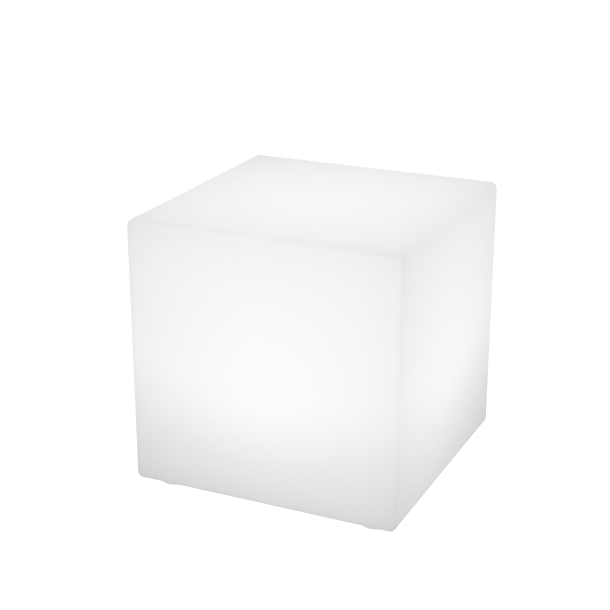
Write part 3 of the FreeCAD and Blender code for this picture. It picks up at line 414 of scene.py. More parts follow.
def black_nylon():
    finish = Finish("black_nylon", specular_ior_level=0.45)
    specks = finish.noise(2400.0, 2.0, 0.7).step(0.56, 0.72)
    flow = finish.noise(120.0, 3.0)
    finish.set(base_color=finish.mixed(specks * 0.5, (0.020, 0.020, 0.022), (0.09, 0.09, 0.095)),
               roughness=0.38 + 0.20 * flow + 0.10 * specks,
               normal=finish.bump(specks * 0.00002 + flow * 0.00005, 0.6))
    return finish


WIRE_PITCH = 0.0024                # between the two wires in a connector
WIRE_HOLE = 0.00095


def cream_nylon():
    """The connectors: natural nylon, with two holes in each top for the wires' contacts, and the
    shade inside the holes painted dark.
    """
    finish = Finish("cream_nylon", specular_ior_level=0.4)
    axes = [place + Vector((side * WIRE_PITCH / 2, 0.0, 0.0))
            for place in middles("board_connectors") for side in (-1, 1)]
    hole_with_painted_shade = from_nearest(finish, axes).within(WIRE_HOLE, WIRE_HOLE * 0.1) * level(finish)
    cloud = finish.noise(260.0, 2.0)
    body = finish.mixed(cloud, (0.74, 0.69, 0.56), (0.82, 0.78, 0.66))
    # Painted shade: the holes are only dents in the bump, so the dark inside them is painted into
    # the colour.
    finish.set(base_color=finish.mixed(hole_with_painted_shade, body, (0.03, 0.028, 0.025)),
               roughness=0.42 + 0.15 * cloud,
               normal=finish.bump(cloud * 0.00003 - hole_with_painted_shade * 0.0004, 0.6))
    return finish


housing = white_housing()
dress(housing, "module_base", "led_deck")
dress(black_nylon(), "battery_clamp", "switch_rear", "charge_socket")
dress(cream_nylon(), "board_connectors")

# %% [markdown]
# ## Silicone and foam
#
# Silicone is matt, and its soft skin picks up dust, which shows as a paler bloom. The Sheen of
# the Principled shader gives the pale rim that such a skin has at a slant. The pad over the
# battery is closed-cell foam, whose cut face is a mosaic of tiny bubbles.

# %% Silicone and foam
def silicone(name, colour, dust):
    finish = Finish(name, specular_ior_level=0.3, sheen_weight=0.25, sheen_roughness=0.5)
    bloom = finish.noise(110.0, 4.0, 0.65).step(0.45, 0.75)
    grain = finish.noise(1800.0, 2.0, 0.6)
    finish.set(base_color=finish.mixed(bloom * 0.6, colour, dust),
               roughness=0.55 + 0.20 * bloom,
               normal=finish.bump(grain * 0.00003, 0.6))
    return finish


def foam():
    finish = Finish("foam", specular_ior_level=0.1)
    bubbles = finish.node("TexVoronoi", None, {"Vector": finish.place(), "Scale": 1500.0},
                          out="Distance")
    finish.set(base_color=finish.mixed(bubbles, (0.035, 0.035, 0.038), (0.12, 0.12, 0.125)),
               roughness=0.85 + 0.10 * bubbles,
               normal=finish.bump(bubbles * -0.0003, 0.8))
    return finish


rubber = silicone("black_silicone", (0.018, 0.018, 0.019), (0.055, 0.055, 0.057))
dress(rubber, "lead_grommet", "switch_seal", "socket_seal", "socket_flap", "flap_anchor")
dress(silicone("grey_silicone", (0.33, 0.34, 0.35), (0.42, 0.43, 0.43)),
      "flange_seal", "deck_seal")
dress(foam(), "battery_pad")

# %% [markdown]
# ## Metals
#
# Screws, nuts and the switch's parts are turned, and a lathe leaves rings about 0.2 mm apart.
# They are far too fine to see one by one, but they spread the highlight, so they go into Bump
# as a sine of the distance from each piece's axis. Strip metal is rolled, so its marks run one
# way: that is noise, squeezed along one direction. The inserts are knurled, and two crossed
# spirals round an insert's own axis make the diamonds of a knurl.

# %% Turned, rolled and knurled metal
RING_PITCH = 0.00022
FULL_TURN = 2 * math.pi


def turned(name, colour, shade, roughness, axes):
    finish = Finish(name, metallic=1.0)
    rings = (from_nearest(finish, axes) * (FULL_TURN / RING_PITCH)).sine()
    haze = finish.noise(180.0, 4.0, 0.65)
    finish.set(base_color=finish.mixed(haze, shade, colour),
               roughness=roughness + 0.16 * (haze - 0.5),
               normal=finish.bump(rings * 0.000004 + haze * 0.00001, 0.6))
    return finish


def rolled(name, colour, shade, roughness):
    finish = Finish(name, metallic=1.0)
    squeezed = finish.node("Mapping", None, {"Vector": finish.place(), "Scale": (0.1, 1.0, 8.0)})
    streaks = finish.noise(700.0, 3.0, 0.6, squeezed)
    finish.set(base_color=finish.mixed(streaks, shade, colour),
               roughness=roughness + 0.15 * streaks,
               normal=finish.bump(streaks * 0.000012, 0.6))
    return finish


def drawn_wire():
    finish = Finish("spring_steel", metallic=1.0)
    haze = finish.noise(500.0, 3.0, 0.6)
    finish.set(base_color=finish.mixed(haze, (0.32, 0.31, 0.30), (0.52, 0.52, 0.51)),
               roughness=0.24 + 0.14 * haze, normal=finish.bump(haze * 0.00001, 0.5))
    return finish


KNURL_RIBS = 14
KNURL_RISE = 3600.0                # how fast the spirals climb, in radians to the metre


def knurled():
    finish = Finish("brass", metallic=1.0)
    inserts = middles("threaded_inserts")
    circle = inserts[0].xy.length
    share = FULL_TURN / len(inserts)
    x, y, z = finish.parts(finish.place())
    out = (x * x + y * y).root()
    fold = (y.angle(x) - math.pi / 2).wrap(-share / 2, share / 2)
    turn = (out * fold.sine()).angle(out * fold.cosine() - circle)
    diamonds = ((turn * KNURL_RIBS + z * KNURL_RISE).sine()
                * (turn * KNURL_RIBS - z * KNURL_RISE).sine())
    haze = finish.noise(240.0, 3.0)
    finish.set(base_color=finish.mixed(haze, (0.62, 0.42, 0.15), (0.82, 0.61, 0.27)),
               roughness=0.24 + 0.16 * haze, normal=finish.bump(diamonds * 0.00012, 0.8))
    return finish


STEEL, STEEL_SHADE = (0.66, 0.66, 0.65), (0.54, 0.54, 0.53)
NICKEL, NICKEL_SHADE = (0.62, 0.605, 0.575), (0.47, 0.455, 0.43)

for name in ("flange_screws", "deck_screws", "led_board_screws", "dome_screws", "clamp_screws",
             "control_board_screws", "switch_button"):
    dress(turned("stainless_" + name, STEEL, STEEL_SHADE, 0.30, middles(name)), name)
dress(turned("nickel_plate", NICKEL, NICKEL_SHADE, 0.20, middles("switch_body", "socket_pin")),
      "switch_body", "switch_nut", "socket_nut", "socket_pin")
strip = rolled("nickel_strip", (0.70, 0.69, 0.66), (0.56, 0.55, 0.52), 0.24)
dress(strip, "battery_tabs", "switch_terminals", "socket_terminals")
spring_wire = drawn_wire()
dress(knurled(), "threaded_inserts")

# %% [markdown]
# ## The light engine
#
# Eighteen small lights sit on a white board under an opal dome. Each is a white package with a
# yellow fill, which glows most over its middle, where the chip is. The board is aluminium under
# white paint, so its cut edge shows bare metal. Copper areas lie in rings under the paint and
# show as a paler white. They are a brick pattern, whose length runs along the ring and whose
# height runs outwards. The dome scatters the light of all eighteen, and keeps only a faint
# bright spot over each.

# %% Board, lights and dome
light_places = middles("led_packages")
package_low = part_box("led_packages")[0]
dome_low, dome_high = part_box("diffuser_dome")
LENS_RADIUS = 0.002
TINNED_FOOT = 0.0003               # height of the feet at the bottom of a package
SPOT_REACH = 0.009                 # of the bright spot over a light, on the dome
PAD_RADIUS = 0.0040                # of the copper under a light
COPPER_ROW = 0.0058                # depth of a ring of copper areas
COPPER_LENGTH = 0.0105             # of one area, along its ring
COPPER_GAP = 0.00035
MEAN_RADIUS = 0.02                 # where lengths along a ring are true


def white_board():
    finish = Finish("white_board", specular_ior_level=0.5)
    painted = level(finish)
    x, y = finish.parts(finish.place())[:2]
    out = (x * x + y * y).root()
    unrolled = finish.node("CombineXYZ", None, {0: y.angle(x) * MEAN_RADIUS, 1: out})
    gaps = finish.node("TexBrick", None, {
        "Vector": unrolled, "Scale": 1.0, "Brick Width": COPPER_LENGTH,
        "Row Height": COPPER_ROW, "Mortar Size": COPPER_GAP / 2, "Mortar Smooth": 0.3}, out="Fac")
    pad = from_nearest(finish, light_places).within(PAD_RADIUS, 0.0002)
    copper = (1.0 - gaps).over(pad)
    cloud = finish.noise(60.0, 2.0)
    paint = finish.mixed(copper, (0.70, 0.71, 0.70), (0.88, 0.88, 0.87))
    finish.set(base_color=finish.mixed(painted, (0.60, 0.60, 0.61), paint),
               metallic=1.0 - painted,
               roughness=0.30 + 0.12 * cloud,
               normal=finish.bump(copper * 0.00006 + pad * 0.00004, 0.8))
    return finish


def light_package():
    """White plastic, with tinned feet along the bottom of each side."""
    finish = Finish("led_body", specular_ior_level=0.5)
    z = finish.parts(finish.place())[2]
    foot = z.within(package_low.z + TINNED_FOOT, 0.00005)
    grain = finish.noise(1500.0)
    body = finish.mixed(grain, (0.86, 0.86, 0.84), (0.91, 0.91, 0.89))
    finish.set(base_color=finish.mixed(foot, body, (0.72, 0.72, 0.70)), metallic=foot,
               roughness=0.30 + 0.12 * grain, normal=finish.bump(grain * 0.00001, 0.5))
    return finish


def phosphor():
    finish = Finish("led_phosphor", specular_ior_level=0.5, emission_strength=1.0)
    middle = from_nearest(finish, light_places).within(0.0, LENS_RADIUS)
    grain = finish.noise(3000.0, 2.0, 0.7)
    finish.set(base_color=finish.mixed(grain, (0.88, 0.72, 0.24), (0.95, 0.84, 0.42)),
               emission_color=finish.mixed(middle, (0.75, 0.66, 0.42), (1.0, 0.97, 0.88)),
               roughness=0.22 + 0.10 * grain, normal=finish.bump(grain * 0.00001, 0.4))
    return finish


def opal_dome():
    finish = Finish("opal_dome", specular_ior_level=0.5, coat_roughness=0.08,
                    emission_strength=1.0)
    z = finish.parts(finish.place())[2]
    bowl = z.step(dome_low.z, dome_high.z)
    spots = from_nearest(finish, light_places).within(0.0, SPOT_REACH)
    flow = finish.noise(30.0, 2.0)
    finish.set(base_color=finish.mixed(flow, (0.47, 0.47, 0.46), (0.52, 0.52, 0.51)),
               emission_color=finish.grey(0.22 + 0.36 * bowl + 0.10 * spots),
               roughness=0.16 + 0.08 * flow, coat_weight=0.3 + 0.2 * flow,
               normal=finish.bump(flow * 0.0003, 0.3))
    return finish


dress(white_board(), "led_board")
dress(light_package(), "led_packages")
dress(phosphor(), "led_lenses")
dress(opal_dome(), "diffuser_dome")

# %% [markdown]
# ## The control board and what stands on it
#
# A glass-fibre board is green only where solder mask covers it. Its sawn edge is bare and straw
# coloured. Copper shows through the mask as paler green. A board maker runs tracks side by side
# along one direction and then the other, and fills what is left with copper. So the board is cut
# into small squares, and a random number for each square says which of the three it holds. The
# chips are black epoxy with a dimple over the first pin, the capacitors wear a dark sleeve that
# leaves the top of the can bare, and the choke has its winding in a round window.

# %% Boards, chips, capacitors and choke
TRACK_PITCH = 0.0008
TRACK_SHARE = 0.5                  # of the pitch that is copper
TRACK_BLUR = 0.04                  # of the pitch, to each side of a track's edge
ROUTE_SQUARE = 8 * TRACK_PITCH
SHARE_ALONG_X, SHARE_ALONG_Y = 0.38, 0.30
SWITCH = 0.001                     # a fade so short that it acts as a switch


def copper_tracks(finish):
    x, y = finish.parts(finish.place())[:2]
    along_x, along_y = [abs((across / TRACK_PITCH).rest() - 0.5).within(
        TRACK_SHARE / 2 - TRACK_BLUR, 2 * TRACK_BLUR) for across in (y, x)]
    square = finish.node("VectorMath", {"operation": "SNAP"},
                         {0: finish.place(), 1: (ROUTE_SQUARE,) * 3})
    lot = finish.node("TexWhiteNoise", None, {"Vector": square}, out="Value")
    first = lot.within(SHARE_ALONG_X - SWITCH, SWITCH)
    filled = 1.0 - lot.within(SHARE_ALONG_X + SHARE_ALONG_Y, SWITCH)
    return first * along_x + (1.0 - first - filled) * along_y + filled


def green_board():
    finish = Finish("green_board", specular_ior_level=0.5)
    masked = level(finish)
    tracks = copper_tracks(finish)
    vias = finish.node("TexVoronoi", None, {"Vector": finish.place(), "Scale": 260.0,
                                            "Randomness": 0.7}, out="Distance")
    via = vias.within(0.09, 0.01) * masked
    mask = finish.mixed(tracks, (0.008, 0.10, 0.035), (0.02, 0.20, 0.075))
    edge = finish.mixed(finish.noise(900.0), (0.42, 0.38, 0.20), (0.58, 0.54, 0.32))
    board = finish.mixed(masked, edge, mask)
    finish.set(base_color=finish.mixed(via, board, (0.74, 0.73, 0.70)), metallic=via,
               roughness=0.62 - 0.34 * masked,
               normal=finish.bump(tracks * 0.00003 - via * 0.00005, 0.8))
    return finish


chip_places = middles("control_chips")
chip_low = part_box("control_chips")[0]
receiver_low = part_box("remote_receiver")[0]
RECEIVER_LEG = 0.0025              # bare leg under the receiver's body
DIMPLE = Vector((-0.0012, 0.0012, 0.0))
DIMPLE_RADIUS = 0.00028


def black_epoxy(name, bare_under):
    """Moulded epoxy. Below the given height the same piece is bare metal, as legs are."""
    finish = Finish(name, specular_ior_level=0.45)
    z = finish.parts(finish.place())[2]
    bare = z.within(bare_under, 0.00005)
    dimples = from_nearest(finish, [place + DIMPLE for place in chip_places])
    dimple = dimples.within(DIMPLE_RADIUS, 0.00006) * level(finish)
    grain = finish.noise(2200.0, 2.0, 0.7)
    body = finish.mixed(grain, (0.016, 0.016, 0.017), (0.045, 0.045, 0.047))
    finish.set(base_color=finish.mixed(bare, body, (0.70, 0.70, 0.68)), metallic=bare,
               roughness=0.40 + 0.18 * grain - 0.20 * dimple,
               normal=finish.bump(grain * 0.00002 - dimple * 0.0001, 0.7))
    return finish


can_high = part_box("board_capacitors")[1]
CAN_CURL = 0.0033                  # radius of the bare top inside the sleeve's curl
VENT_HALF = 0.0001
SLEEVE_LIP = 0.0003


def capacitor():
    finish = Finish("capacitor_can", specular_ior_level=0.5)
    x, y, z = finish.parts(finish.place())
    cans = middles("board_capacitors")
    top = z.step(can_high.z - SLEEVE_LIP, can_high.z)
    bare = from_nearest(finish, cans).within(CAN_CURL, 0.0001) * top
    over_x = abs(abs(x) - abs(cans[0].x))
    over_y = abs(y - cans[0].y)
    vent = over_x.under(over_y).within(VENT_HALF, VENT_HALF) * bare
    haze = finish.noise(300.0, 3.0)
    sleeve = finish.mixed(haze, (0.018, 0.020, 0.030), (0.035, 0.038, 0.055))
    finish.set(base_color=finish.mixed(bare, sleeve, (0.72, 0.72, 0.73)), metallic=bare,
               roughness=0.26 + 0.14 * haze,
               normal=finish.bump(bare * -0.0002 - vent * 0.0002 + haze * 0.00002, 0.7))
    return finish


coil_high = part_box("charging_coil")[1]
WINDOW = 0.0024
CORE = 0.0011
COIL_WIRE = 0.00032


def choke():
    finish = Finish("ferrite", specular_ior_level=0.35)
    z = finish.parts(finish.place())[2]
    gap = from_nearest(finish, middles("charging_coil"))
    window = gap.within(WINDOW, 0.0001) * gap.step(CORE, CORE + 0.0001)
    window = window * z.step(coil_high.z - 0.0001, coil_high.z)
    strands = abs((gap * (math.pi / COIL_WIRE)).sine())
    grain = finish.noise(1600.0, 3.0, 0.7)
    body = finish.mixed(grain, (0.045, 0.045, 0.048), (0.11, 0.11, 0.115))
    finish.set(base_color=finish.mixed(window, body, (0.62, 0.26, 0.10)), metallic=window,
               roughness=0.62 + 0.15 * grain - 0.35 * window,
               normal=finish.bump(grain * 0.00003 + window * strands * 0.0001, 0.8))
    return finish


dress(green_board(), "control_board")
dress(black_epoxy("chip_epoxy", chip_low.z - 0.001), "control_chips")
dress(black_epoxy("receiver_epoxy", receiver_low.z + RECEIVER_LEG), "remote_receiver")
dress(capacitor(), "board_capacitors")
dress(choke(), "charging_coil")

# %% [markdown]
# ## The battery
#
# Each cell is a steel can in a blue shrink sleeve. The sleeve curls over the can's ends, where
# it puckers, and leaves their middles bare. How far a point is from the cell's own axis tells
# the curl from the bare end, and a sine of the angle round that axis makes the puckers.

# %% Battery cells
cell_places = middles("battery_cells")
cell_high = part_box("battery_cells")[1]
CELL_CURL = 0.0075                 # radius of the bare middle of each end
PUCKER_REACH = 0.004
PUCKERS = 26


def cell_sleeve():
    finish = Finish("cell_sleeve", specular_ior_level=0.5, coat_roughness=0.1)
    x, y, z = finish.parts(finish.place())
    first, second = sorted(place.y for place in cell_places)
    side = abs(y - (first + second) / 2) - (second - first) / 2
    rise = z - cell_places[0].z
    out = (side * side + rise * rise).root()
    end = abs(x).step(cell_high.x - 0.0003, cell_high.x - 0.0001)
    bare = out.within(CELL_CURL, 0.0002) * end
    puckers = (rise.angle(side) * PUCKERS).sine() * abs(x).step(cell_high.x - PUCKER_REACH,
                                                                 cell_high.x)
    haze = finish.noise(160.0, 3.0)
    sleeve = finish.mixed(haze, (0.02, 0.10, 0.33), (0.035, 0.15, 0.42))
    finish.set(base_color=finish.mixed(bare, sleeve, (0.66, 0.65, 0.62)), metallic=bare,
               roughness=0.22 + 0.14 * haze, coat_weight=0.4 - 0.4 * bare,
               normal=finish.bump(puckers * 0.00006 + haze * 0.00008, 0.7))
    return finish


dress(cell_sleeve(), "battery_cells")

# %% [markdown]
# ## The wires
#
# Each pair of wires is one node in the model, but one wire is red and the other black. A copy of
# the node's mesh is merged, its two lumps are found, and each gets its own material. The copy
# then stands for the node.

# %% Red and black wires
def insulation(name, colour, bloom_colour):
    finish = Finish(name, specular_ior_level=0.35, sheen_weight=0.15)
    bloom = finish.noise(300.0, 3.0)
    finish.set(base_color=finish.mixed(bloom, colour, bloom_colour),
               roughness=0.42 + 0.16 * bloom, normal=finish.bump(bloom * 0.00003, 0.5))
    return finish


wire_finishes = [insulation("black_insulation", (0.016, 0.016, 0.017), (0.035, 0.035, 0.037)),
                 insulation("red_insulation", (0.46, 0.018, 0.016), (0.58, 0.035, 0.030))]


def piece(name, mesh, slot, body, *finishes):
    """Makes an object from a bmesh, which it frees, and lets it ride on a body."""
    data = bpy.data.meshes.new(name)
    mesh.to_mesh(data)
    mesh.free()
    for finish in finishes:
        data.materials.append(finish.material)
    made = bpy.data.objects.new(name, data)
    bpy.context.scene.collection.objects.link(made)
    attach(made, body)
    print(name, "has", len(data.polygons), "faces")
    return made


def smoothed(mesh):
    for face in mesh.faces:
        face.smooth = True
    return mesh


def wires(node):
    mesh = merged(node)
    for number, lump in enumerate(lumps(mesh)):
        for face in lump:
            face.material_index = number
    pair = piece(node + "_pair", smoothed(mesh), "lead_insulation", "cube", *wire_finishes)
    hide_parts(node)


for node in ("switch_leads", "socket_leads", "battery_leads", "led_leads"):
    wires(node)

# %% [markdown]
# ## The spring behind the key
#
# A coil spring stands between the key and the switch's rear block. When the key is pressed its
# lower end goes up with the key, and its upper end stays. Here the spring is a rigid, smooth
# shaded copy of the node, and the key would cut through it. The share of its length that it would
# keep is worked out, but nothing uses it.

# %% The spring
spring_low, spring_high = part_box("switch_spring")
spring_length = spring_high.z - spring_low.z
press = next(joint for joint in frame["joints"] if joint["name"] == "button_press")
key_travel = press["range_m"][1]
spring = piece("coil_spring", smoothed(merged("switch_spring")), "spring_steel", "cube",
               spring_wire)
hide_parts("switch_spring")
(spring_length - key_travel) / spring_length
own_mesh(spring)
print("the spring is", spring_length, "m long, and gives way by", key_travel)

# %% [markdown]
# ## Soft edges
#
# Silicone is cast in a mould with rounded corners, so the flap and its anchor have no sharp edge
# at all. The CAD model leaves their edges sharp, because a rounding this small only matters to
# the eye. Here a copy of each is merged, its flat faces are made whole, and every sharp outer
# edge is bevelled. An inner corner has a turn below zero, so it stays as it is. Flat faces stay
# flat shaded, so that only the roundings catch the light.

# %% The flap and its anchor
SOFT_EDGE = 0.0005
SHARP_TURN = math.radians(40)
FLAT_TURN = math.radians(0.5)


def soften(node, slot, body, finish):
    mesh = merged(node)
    bmesh.ops.dissolve_limit(mesh, angle_limit=FLAT_TURN, verts=mesh.verts, edges=mesh.edges)
    sharp = [edge for edge in mesh.edges if edge.calc_face_angle_signed(0.0) > SHARP_TURN]
    rounded = bmesh.ops.bevel(mesh, geom=sharp, offset=SOFT_EDGE, segments=3, profile=0.5,
                              affect="EDGES", clamp_overlap=True, material=-1)
    for face in rounded["faces"]:
        face.smooth = True
    soft = piece("soft_" + node, mesh, slot, body, finish)
    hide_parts(node)


soften("socket_flap", "black_silicone", "flap", rubber)
soften("flap_anchor", "black_silicone", "cube", rubber)

# %% [markdown]
# ## Small moulded details
#
# Three details are too fine for the model, and show when the cube is turned over. A low bead
# runs round the module's flange and another round the mouth of its pocket, as a moulder adds
# to stiffen an edge. The flap's tab has ribs for a fingernail. And the key has a ring turned
# into its dish, so that a thumb finds it in the dark.
#
# The beads that go round are a small circle, spun about an axis. The pocket's bead follows a
# rectangle with round corners: a grid's four corners are bevelled, the face is inset, its
# middle is taken out, and the frame that is left is made solid and rounded.

# %% Beads, ribs and ring
MM = 0.001
flange_low, flange_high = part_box("module_base")
flap_low, flap_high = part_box("socket_flap")
key_low, key_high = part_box("switch_button")
BEAD_RADIUS = 0.6 * MM
BEAD_INSET = 2.6 * MM              # from the flange's edge to the middle of its bead
POCKET_LENGTH, POCKET_WIDTH, POCKET_CORNER = 84.0 * MM, 30.0 * MM, 9.0 * MM
POCKET_MARGIN = 0.6 * MM           # from the pocket's mouth to its bead
FRAME_WIDTH, FRAME_HEIGHT = 1.4 * MM, 0.9 * MM
FRAME_ROUND, FRAME_SINK = 0.3 * MM, 0.2 * MM
RIB_COUNT, RIB_RADIUS, RIB_LENGTH = 3, 0.35 * MM, 4.4 * MM
RIB_PITCH, RIB_INSET = 1.1 * MM, 0.9 * MM
KEY_RING, KEY_RING_SECTION = 3.0 * MM, 0.16 * MM
DISH_REACH, DISH_DEPTH = 4.8 * MM, 0.5 * MM
CREASE = math.radians(60)          # edges that turn by more than this are rounded


def hoop(axis, radius, height, section, steps, sides=12):
    """A round bead that goes round an upright axis."""
    mesh = bmesh.new()
    bmesh.ops.create_circle(mesh, segments=sides, radius=section)
    bmesh.ops.rotate(mesh, verts=mesh.verts, matrix=Matrix.Rotation(math.pi / 2, 3, "X"))
    bmesh.ops.translate(mesh, verts=mesh.verts, vec=axis + Vector((radius, 0.0, height)))
    bmesh.ops.spin(mesh, geom=mesh.edges[:] + mesh.verts[:], cent=axis, axis=(0.0, 0.0, 1.0),
                   angle=FULL_TURN, steps=steps, use_merge=True)
    bmesh.ops.recalc_face_normals(mesh, faces=mesh.faces)
    return smoothed(mesh)


def pocket_bead():
    """A frame with round corners, round the mouth of the module's pocket."""
    reach = 2 * (POCKET_MARGIN + FRAME_WIDTH)
    mesh = bmesh.new()
    bmesh.ops.create_grid(mesh, x_segments=1, y_segments=1, size=0.5)
    bmesh.ops.scale(mesh, verts=mesh.verts, vec=(POCKET_LENGTH + reach, POCKET_WIDTH + reach, 1.0))
    bmesh.ops.bevel(mesh, geom=mesh.verts[:], offset=POCKET_CORNER + reach / 2, segments=10,
                    profile=0.5, affect="VERTICES", material=-1)
    middle = mesh.faces[:]
    bmesh.ops.inset_region(mesh, faces=middle, thickness=FRAME_WIDTH, use_boundary=True,
                           use_even_offset=True)
    bmesh.ops.delete(mesh, geom=middle, context="FACES")
    bmesh.ops.solidify(mesh, geom=mesh.faces[:], thickness=FRAME_HEIGHT)
    bmesh.ops.recalc_face_normals(mesh, faces=mesh.faces)
    sharp = [edge for edge in mesh.edges if edge.calc_face_angle(0.0) > CREASE]
    bmesh.ops.bevel(mesh, geom=sharp, offset=FRAME_ROUND, segments=2, profile=0.5,
                    affect="EDGES", material=-1)
    low = min(vert.co.z for vert in mesh.verts)
    bmesh.ops.translate(mesh, verts=mesh.verts,
                        vec=(0.0, 0.0, flange_low.z - FRAME_HEIGHT + FRAME_SINK - low))
    return mesh


def grip_ribs():
    """Three round ribs with round ends, across the flap's tab."""
    mesh = bmesh.new()
    for number in range(RIB_COUNT):
        made = bmesh.ops.create_cone(mesh, cap_ends=True, segments=12, radius1=RIB_RADIUS,
                                     radius2=RIB_RADIUS, depth=RIB_LENGTH)["verts"]
        bmesh.ops.rotate(mesh, verts=made, matrix=Matrix.Rotation(math.pi / 2, 3, "X"))
        bmesh.ops.translate(mesh, verts=made, vec=(
            flap_high.x - RIB_INSET - number * RIB_PITCH, 0.0, flap_low.z))
    rims = [edge for edge in mesh.edges if edge.calc_face_angle(0.0) > CREASE]
    bmesh.ops.bevel(mesh, geom=rims, offset=RIB_RADIUS * 0.6, segments=3, profile=0.5,
                    affect="EDGES", material=-1)
    return smoothed(mesh)


centre = Vector((0.0, 0.0, 0.0))
key_axis = Vector(((key_low.x + key_high.x) / 2, 0.0, 0.0))
key_ring_height = key_low.z + DISH_DEPTH * (1 - (KEY_RING / DISH_REACH) ** 2)
piece("flange_bead", hoop(centre, flange_high.x - BEAD_INSET, flange_low.z, BEAD_RADIUS, 180),
      "white_housing", "cube", housing)
piece("pocket_bead", pocket_bead(), "white_housing", "cube", housing)
piece("flap_grip_ribs", grip_ribs(), "black_silicone", "flap", rubber)
piece("key_ring", hoop(key_axis, KEY_RING, key_ring_height, KEY_RING_SECTION, 64, 8),
      "stainless", "button", turned("stainless_ring", STEEL, STEEL_SHADE, 0.25, [key_axis]))

# %% [markdown]
# ## Legs of the chips
#
# A chip's leg is a strip of tinned sheet: out of the body, down and out again onto the board. A
# grid of three squares is such a strip once its inner half is lifted. A loop sets a row of legs
# along all four sides of the controller and along two sides of each other chip, and one solidify
# at the end gives them all their thickness.

# %% Chip legs
LEG_REACH = 0.9 * MM
LEG_WIDTH = 0.3 * MM
LEG_SHEET = 0.12 * MM
CONTROLLER_LEGS, DRIVER_LEGS = 8, 3
LEG_SPREAD = 0.78                  # of a chip's side that its legs take up


def leg(mesh, side, turn, rise, shift):
    """One leg, on the side of a chip that faces `turn`, `side` metres from its middle."""
    made = bmesh.ops.create_grid(mesh, x_segments=3, y_segments=1, size=0.5)["verts"]
    bmesh.ops.scale(mesh, verts=made, vec=(LEG_REACH, LEG_WIDTH, 1.0))
    inner = [vert for vert in made if vert.co.x < 0.0]
    bmesh.ops.translate(mesh, verts=inner, vec=(0.0, 0.0, rise))
    bmesh.ops.translate(mesh, verts=made, vec=(side + LEG_REACH / 2, shift, LEG_SHEET))
    bmesh.ops.rotate(mesh, verts=made, matrix=Matrix.Rotation(turn, 3, "Z"))
    return made


def chip_legs():
    mesh, chips = bmesh.new(), merged("control_chips")
    for lump in lumps(chips):
        middle = middle_of(lump)
        side = max(vert.co.x for face in lump for vert in face.verts) - middle.x
        rise = middle.z - chip_low.z - LEG_SHEET
        is_controller = abs(middle.x) < side
        count = CONTROLLER_LEGS if is_controller else DRIVER_LEGS
        turns = (0.0, 0.5, 1.0, 1.5) if is_controller else (0.0, 1.0)
        for turn in turns:
            for number in range(count):
                shift = side * LEG_SPREAD * (2 * number / (count - 1) - 1)
                made = leg(mesh, side, turn * math.pi, rise, shift)
                bmesh.ops.translate(mesh, verts=made, vec=(middle.x, middle.y, chip_low.z))
    chips.free()
    bmesh.ops.solidify(mesh, geom=mesh.faces[:], thickness=LEG_SHEET)
    bmesh.ops.recalc_face_normals(mesh, faces=mesh.faces)
    return mesh


piece("chip_legs", chip_legs(), "nickel_strip", "cube", strip)

# %% [markdown]
# ## A white studio
#
# The floor is white and so is the room. A strength of 1 where the camera looks is exactly white
# in the Standard view, and everywhere else the room lights the object at its own, lower level.
# One broad lamp near the camera gives the faces that the photograph shows a little more light.

# %% World, floor and lamp
WHITE = (1.0, 1.0, 1.0)
ROOM_LIGHT = 0.34
FLOOR_SIZE = 60.0
FLOOR_WHITE = 0.80
FLOOR_LIFT = 0.76                  # what the camera sees on top of the lit floor
KEY_PLACE = (0.58, -1.20, 0.945)
KEY_AIM = (0.0, 0.0, 0.2)
KEY_SIZE = 1.2
KEY_POWER = 7.0


def seen_directly(graph):
    """1 for what the camera sees, also in a mirror or through glass, and 0 for light."""
    rays = graph.node("LightPath").socket.node.outputs
    seen = [Value(graph, rays[name])
            for name in ("Is Camera Ray", "Is Glossy Ray", "Is Transmission Ray")]
    return seen[0].over(seen[1]).over(seen[2])


def room():
    world = bpy.data.worlds.new("room")
    world.use_nodes = True
    bpy.context.scene.world = world
    graph = Graph(world.node_tree)
    background = graph.tree.nodes["Background"]
    graph.fill(background.inputs["Color"], WHITE)
    strength = ROOM_LIGHT + (1.0 - ROOM_LIGHT) * seen_directly(graph)
    graph.fill(background.inputs["Strength"], strength)


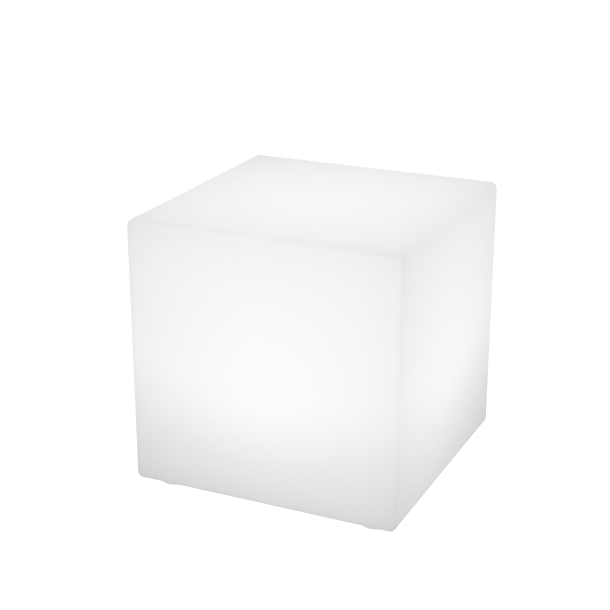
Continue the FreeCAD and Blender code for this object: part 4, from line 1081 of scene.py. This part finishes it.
def floor():
    mesh = bmesh.new()
    bmesh.ops.create_grid(mesh, x_segments=1, y_segments=1, size=FLOOR_SIZE / 2)
    data = bpy.data.meshes.new("floor")
    mesh.to_mesh(data)
    mesh.free()
    ground = bpy.data.objects.new("floor", data)
    bpy.context.scene.collection.objects.link(ground)
    finish = Finish("floor_white", base_color=(FLOOR_WHITE,) * 3, roughness=0.9,
                    specular_ior_level=0.0)
    lift = finish.node("Emission", None, {"Color": finish.grey(seen_directly(finish) * FLOOR_LIFT),
                                          "Strength": 1.0})
    lit = finish.node("AddShader", None, {0: Value(finish, finish.shader.outputs[0]), 1: lift})
    behind = finish.node("NewGeometry", out="Backfacing")
    clear = finish.node("BsdfTransparent")
    whole = finish.node("MixShader", None, {0: behind, 1: lit, 2: clear})
    finish.fill(finish.tree.nodes["Material Output"].inputs["Surface"], whole)
    data.materials.append(finish.material)


def lamp(name, place, aim, size, power):
    light = bpy.data.lights.new(name, "AREA")
    light.size = size
    light.energy = power
    holder = bpy.data.objects.new(name, light)
    holder.location = place
    holder.rotation_euler = (Vector(aim) - Vector(place)).to_track_quat("-Z", "Y").to_euler()
    holder.visible_glossy = False  # its mirror image would burn out the top, seen from behind
    bpy.context.scene.collection.objects.link(holder)


room()
floor()
lamp("key", KEY_PLACE, KEY_AIM, KEY_SIZE, KEY_POWER)
print("a white floor", FLOOR_SIZE, "m across, a white room, and a lamp of", KEY_POWER, "W")

# %% [markdown]
# ## The camera
#
# The camera stands where the photograph was taken from: about two metres away, a little to the
# right of the left face's middle, and looking down by twenty degrees. Its place and focal length
# come from fitting the cube's six outline edges.

# %% Camera
CAMERA_PLACE = (0.8040, -1.7904, 0.9667)
CAMERA_AIM = (-0.0231, 0.0, 0.2375)
FOCAL_LENGTH = 85.07               # mm, on a sensor 36 mm wide
SENSOR_WIDTH = 36.0


def camera():
    data = bpy.data.cameras.new("camera")
    data.lens = FOCAL_LENGTH
    data.sensor_width = SENSOR_WIDTH
    stand = bpy.data.objects.new("camera", data)
    stand.location = CAMERA_PLACE
    sight = Vector(CAMERA_AIM) - Vector(CAMERA_PLACE)
    stand.rotation_euler = sight.to_track_quat("-Z", "Y").to_euler()
    bpy.context.scene.collection.objects.link(stand)
    bpy.context.scene.camera = stand
    print("the camera stands", sight.length, "m from what it aims at")


camera()
bpy.context.scene.view_settings.view_transform = "Standard"
